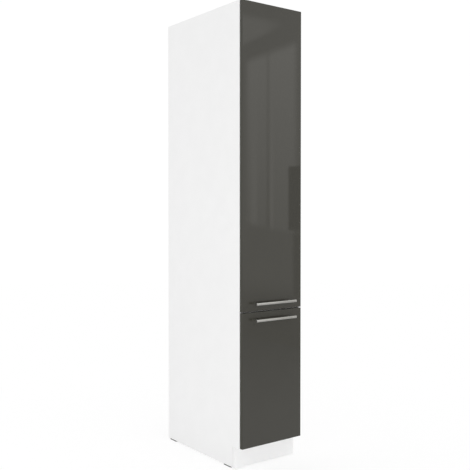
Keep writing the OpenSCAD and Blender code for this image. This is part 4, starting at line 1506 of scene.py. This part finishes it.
@dataclass(frozen=True)
class WindowWall(Wall):
    """A wall with a tall window of two panes, a lit band over it, cupboards beside it and a
    painted shadow on the wall under them.

    A Fade names the two places, along the wall or up it, between which an edge fades in. A
    Leaning names those of an edge that leans, at the window's middle, and how far it drops for
    each metre along the wall. A Strip names where it starts and ends, and how far each fades.
    """

    middle: float = -2.7
    jambs: tuple[Fade, Fade] = ((-3.13, -3.02), (-2.34, -2.44))
    sill_and_head: tuple[Leaning, Leaning] = ((0.98, 1.04, 0.12), (2.62, 2.52, -0.06))
    pane_rise: float = 0.27
    pane_start: float = -0.07
    glow_fade: Fade = (2.3, 1.1)
    glow_levels: Pair = (0.02, 0.2)
    glow_strips: tuple[Strip, Strip] = ((-3.01, -2.92, 0.02), (-2.735, -2.69, 0.01))
    mullion: Strip = (-2.79, -2.74, 0.012)
    mullion_lift: float = -0.24
    band_edges: tuple[Leaning, Leaning] = ((2.73, 2.79, -0.1), (2.88, 2.80, 0.33))
    band_fade: Fade = (-2.4, -2.9)
    band_lift: float = 0.38
    cupboards_and_painted_shadow: tuple[tuple[Fade, Strip, float], ...] = (
        ((-2.50, -2.47), (1.0, 1.55, 0.012), 0.42),
        # The second entry is not a cupboard: it is a painted shadow on the wall below the first.
        ((-2.45, -2.40), (0.4, 1.0, 0.08), 0.48),
    )

    def light(self, sheet: SurfaceTree) -> Socket:
        """Gives the wall's light with the window, the band, the cupboards and the painted shadow
        under them in it.

        Args:
            sheet: The wall's tree.

        Returns:
            The light's strength.
        """
        _, y, z = sheet.axes(sheet.place())
        window = sheet.times(self._across(sheet, y), self._leaning(sheet, self.sill_and_head))
        glow = sheet.times(window, sheet.span(z, *self.glow_fade, *self.glow_levels))
        band = self._leaning(sheet, self.band_edges)
        pane = sheet.scaled(z, self.pane_rise, self.pane_start)
        light = sheet.scaled(window, pane, super().light(sheet))
        lifts = [(self._strip(sheet, y, strip), glow, 1.0) for strip in self.glow_strips]
        lifts.append((self._strip(sheet, y, self.mullion), window, self.mullion_lift))
        lifts.append((sheet.span(y, *self.band_fade), band, self.band_lift))
        for mask, shape, lift in lifts:
            light = sheet.scaled(sheet.times(mask, shape), lift, light)
        # Darkens the cupboard and the painted shadow under it to their levels.
        for side, heights, level in self.cupboards_and_painted_shadow:
            mask = sheet.times(sheet.span(y, *side), self._strip(sheet, z, heights))
            light = sheet.scaled(mask, sheet.math("SUBTRACT", level, light), light)
        return light

    def _across(self, sheet: SurfaceTree, along: Socket) -> Socket:
        """Gives a mask of what lies between the window's jambs."""
        return sheet.times(*(sheet.span(along, *jamb) for jamb in self.jambs))

    def _strip(self, sheet: SurfaceTree, value: Socket, strip: Strip) -> Socket:
        """Gives a mask of a strip of a value.

        Args:
            sheet: The wall's tree.
            value: The value.
            strip: Where the strip starts and ends, and how far each end fades.

        Returns:
            The mask.
        """
        start, end, fade = strip
        return sheet.times(sheet.span(value, start - fade, start + fade),
                           sheet.span(value, end - fade, end + fade, 1.0, 0.0))

    def _leaning(self, sheet: SurfaceTree, edges: tuple[Leaning, Leaning]) -> Socket:
        """Gives a mask of what lies between two edges that lean along the wall.

        Args:
            sheet: The wall's tree.
            edges: The lower edge and the upper one.

        Returns:
            The mask.
        """
        _, y, z = sheet.axes(sheet.place())
        beside = sheet.math("ADD", y, -self.middle)
        return sheet.times(*(sheet.span(sheet.scaled(beside, lean, z), start, end)
                             for start, end, lean in edges))


@dataclass(frozen=True)
class Studio:
    """A white studio: an even sky, a floor, three soft lamps and the walls that gloss shows."""

    lamps: tuple[Lamp, ...] = (
        Lamp("key_softbox", (-3.4, -2.2, 0.35), (0.0, 0.0, 0.1), (2.6, 1.8), 12.0),
        Lamp("low_side_fill", (-1.6, 0.2, 0.3), (-0.175, 0.05, 0.1), (1.2, 0.4), 0.6,
             in_gloss=False),
        Lamp("low_front_fill", (-0.3, -2.0, 0.25), (0.0, -0.2, 0.05), (1.8, 0.4), 5.3,
             in_gloss=False),
    )
    walls: tuple[Wall, ...] = (
        WindowWall("window_wall", (2.0, -4.6), (2.0, -0.6)),
        Wall("front_wall", (-4.2, -4.6), (2.0, -4.6)),
    )

    def build(self) -> None:
        """Makes the whole studio."""
        bpy.context.scene.view_settings.view_transform = "Standard"
        for fitting in (Sky(), Floor(), *self.lamps, *self.walls):
            fitting.build()


def main() -> None:
    """Builds the unit and its studio."""
    logging.basicConfig(level=logging.INFO, format="%(name)s: %(message)s")
    Viewpoint().build()
    LarderUnit(PaintShop()).build()
    Studio().build()


if __name__ == "__main__":
    main()
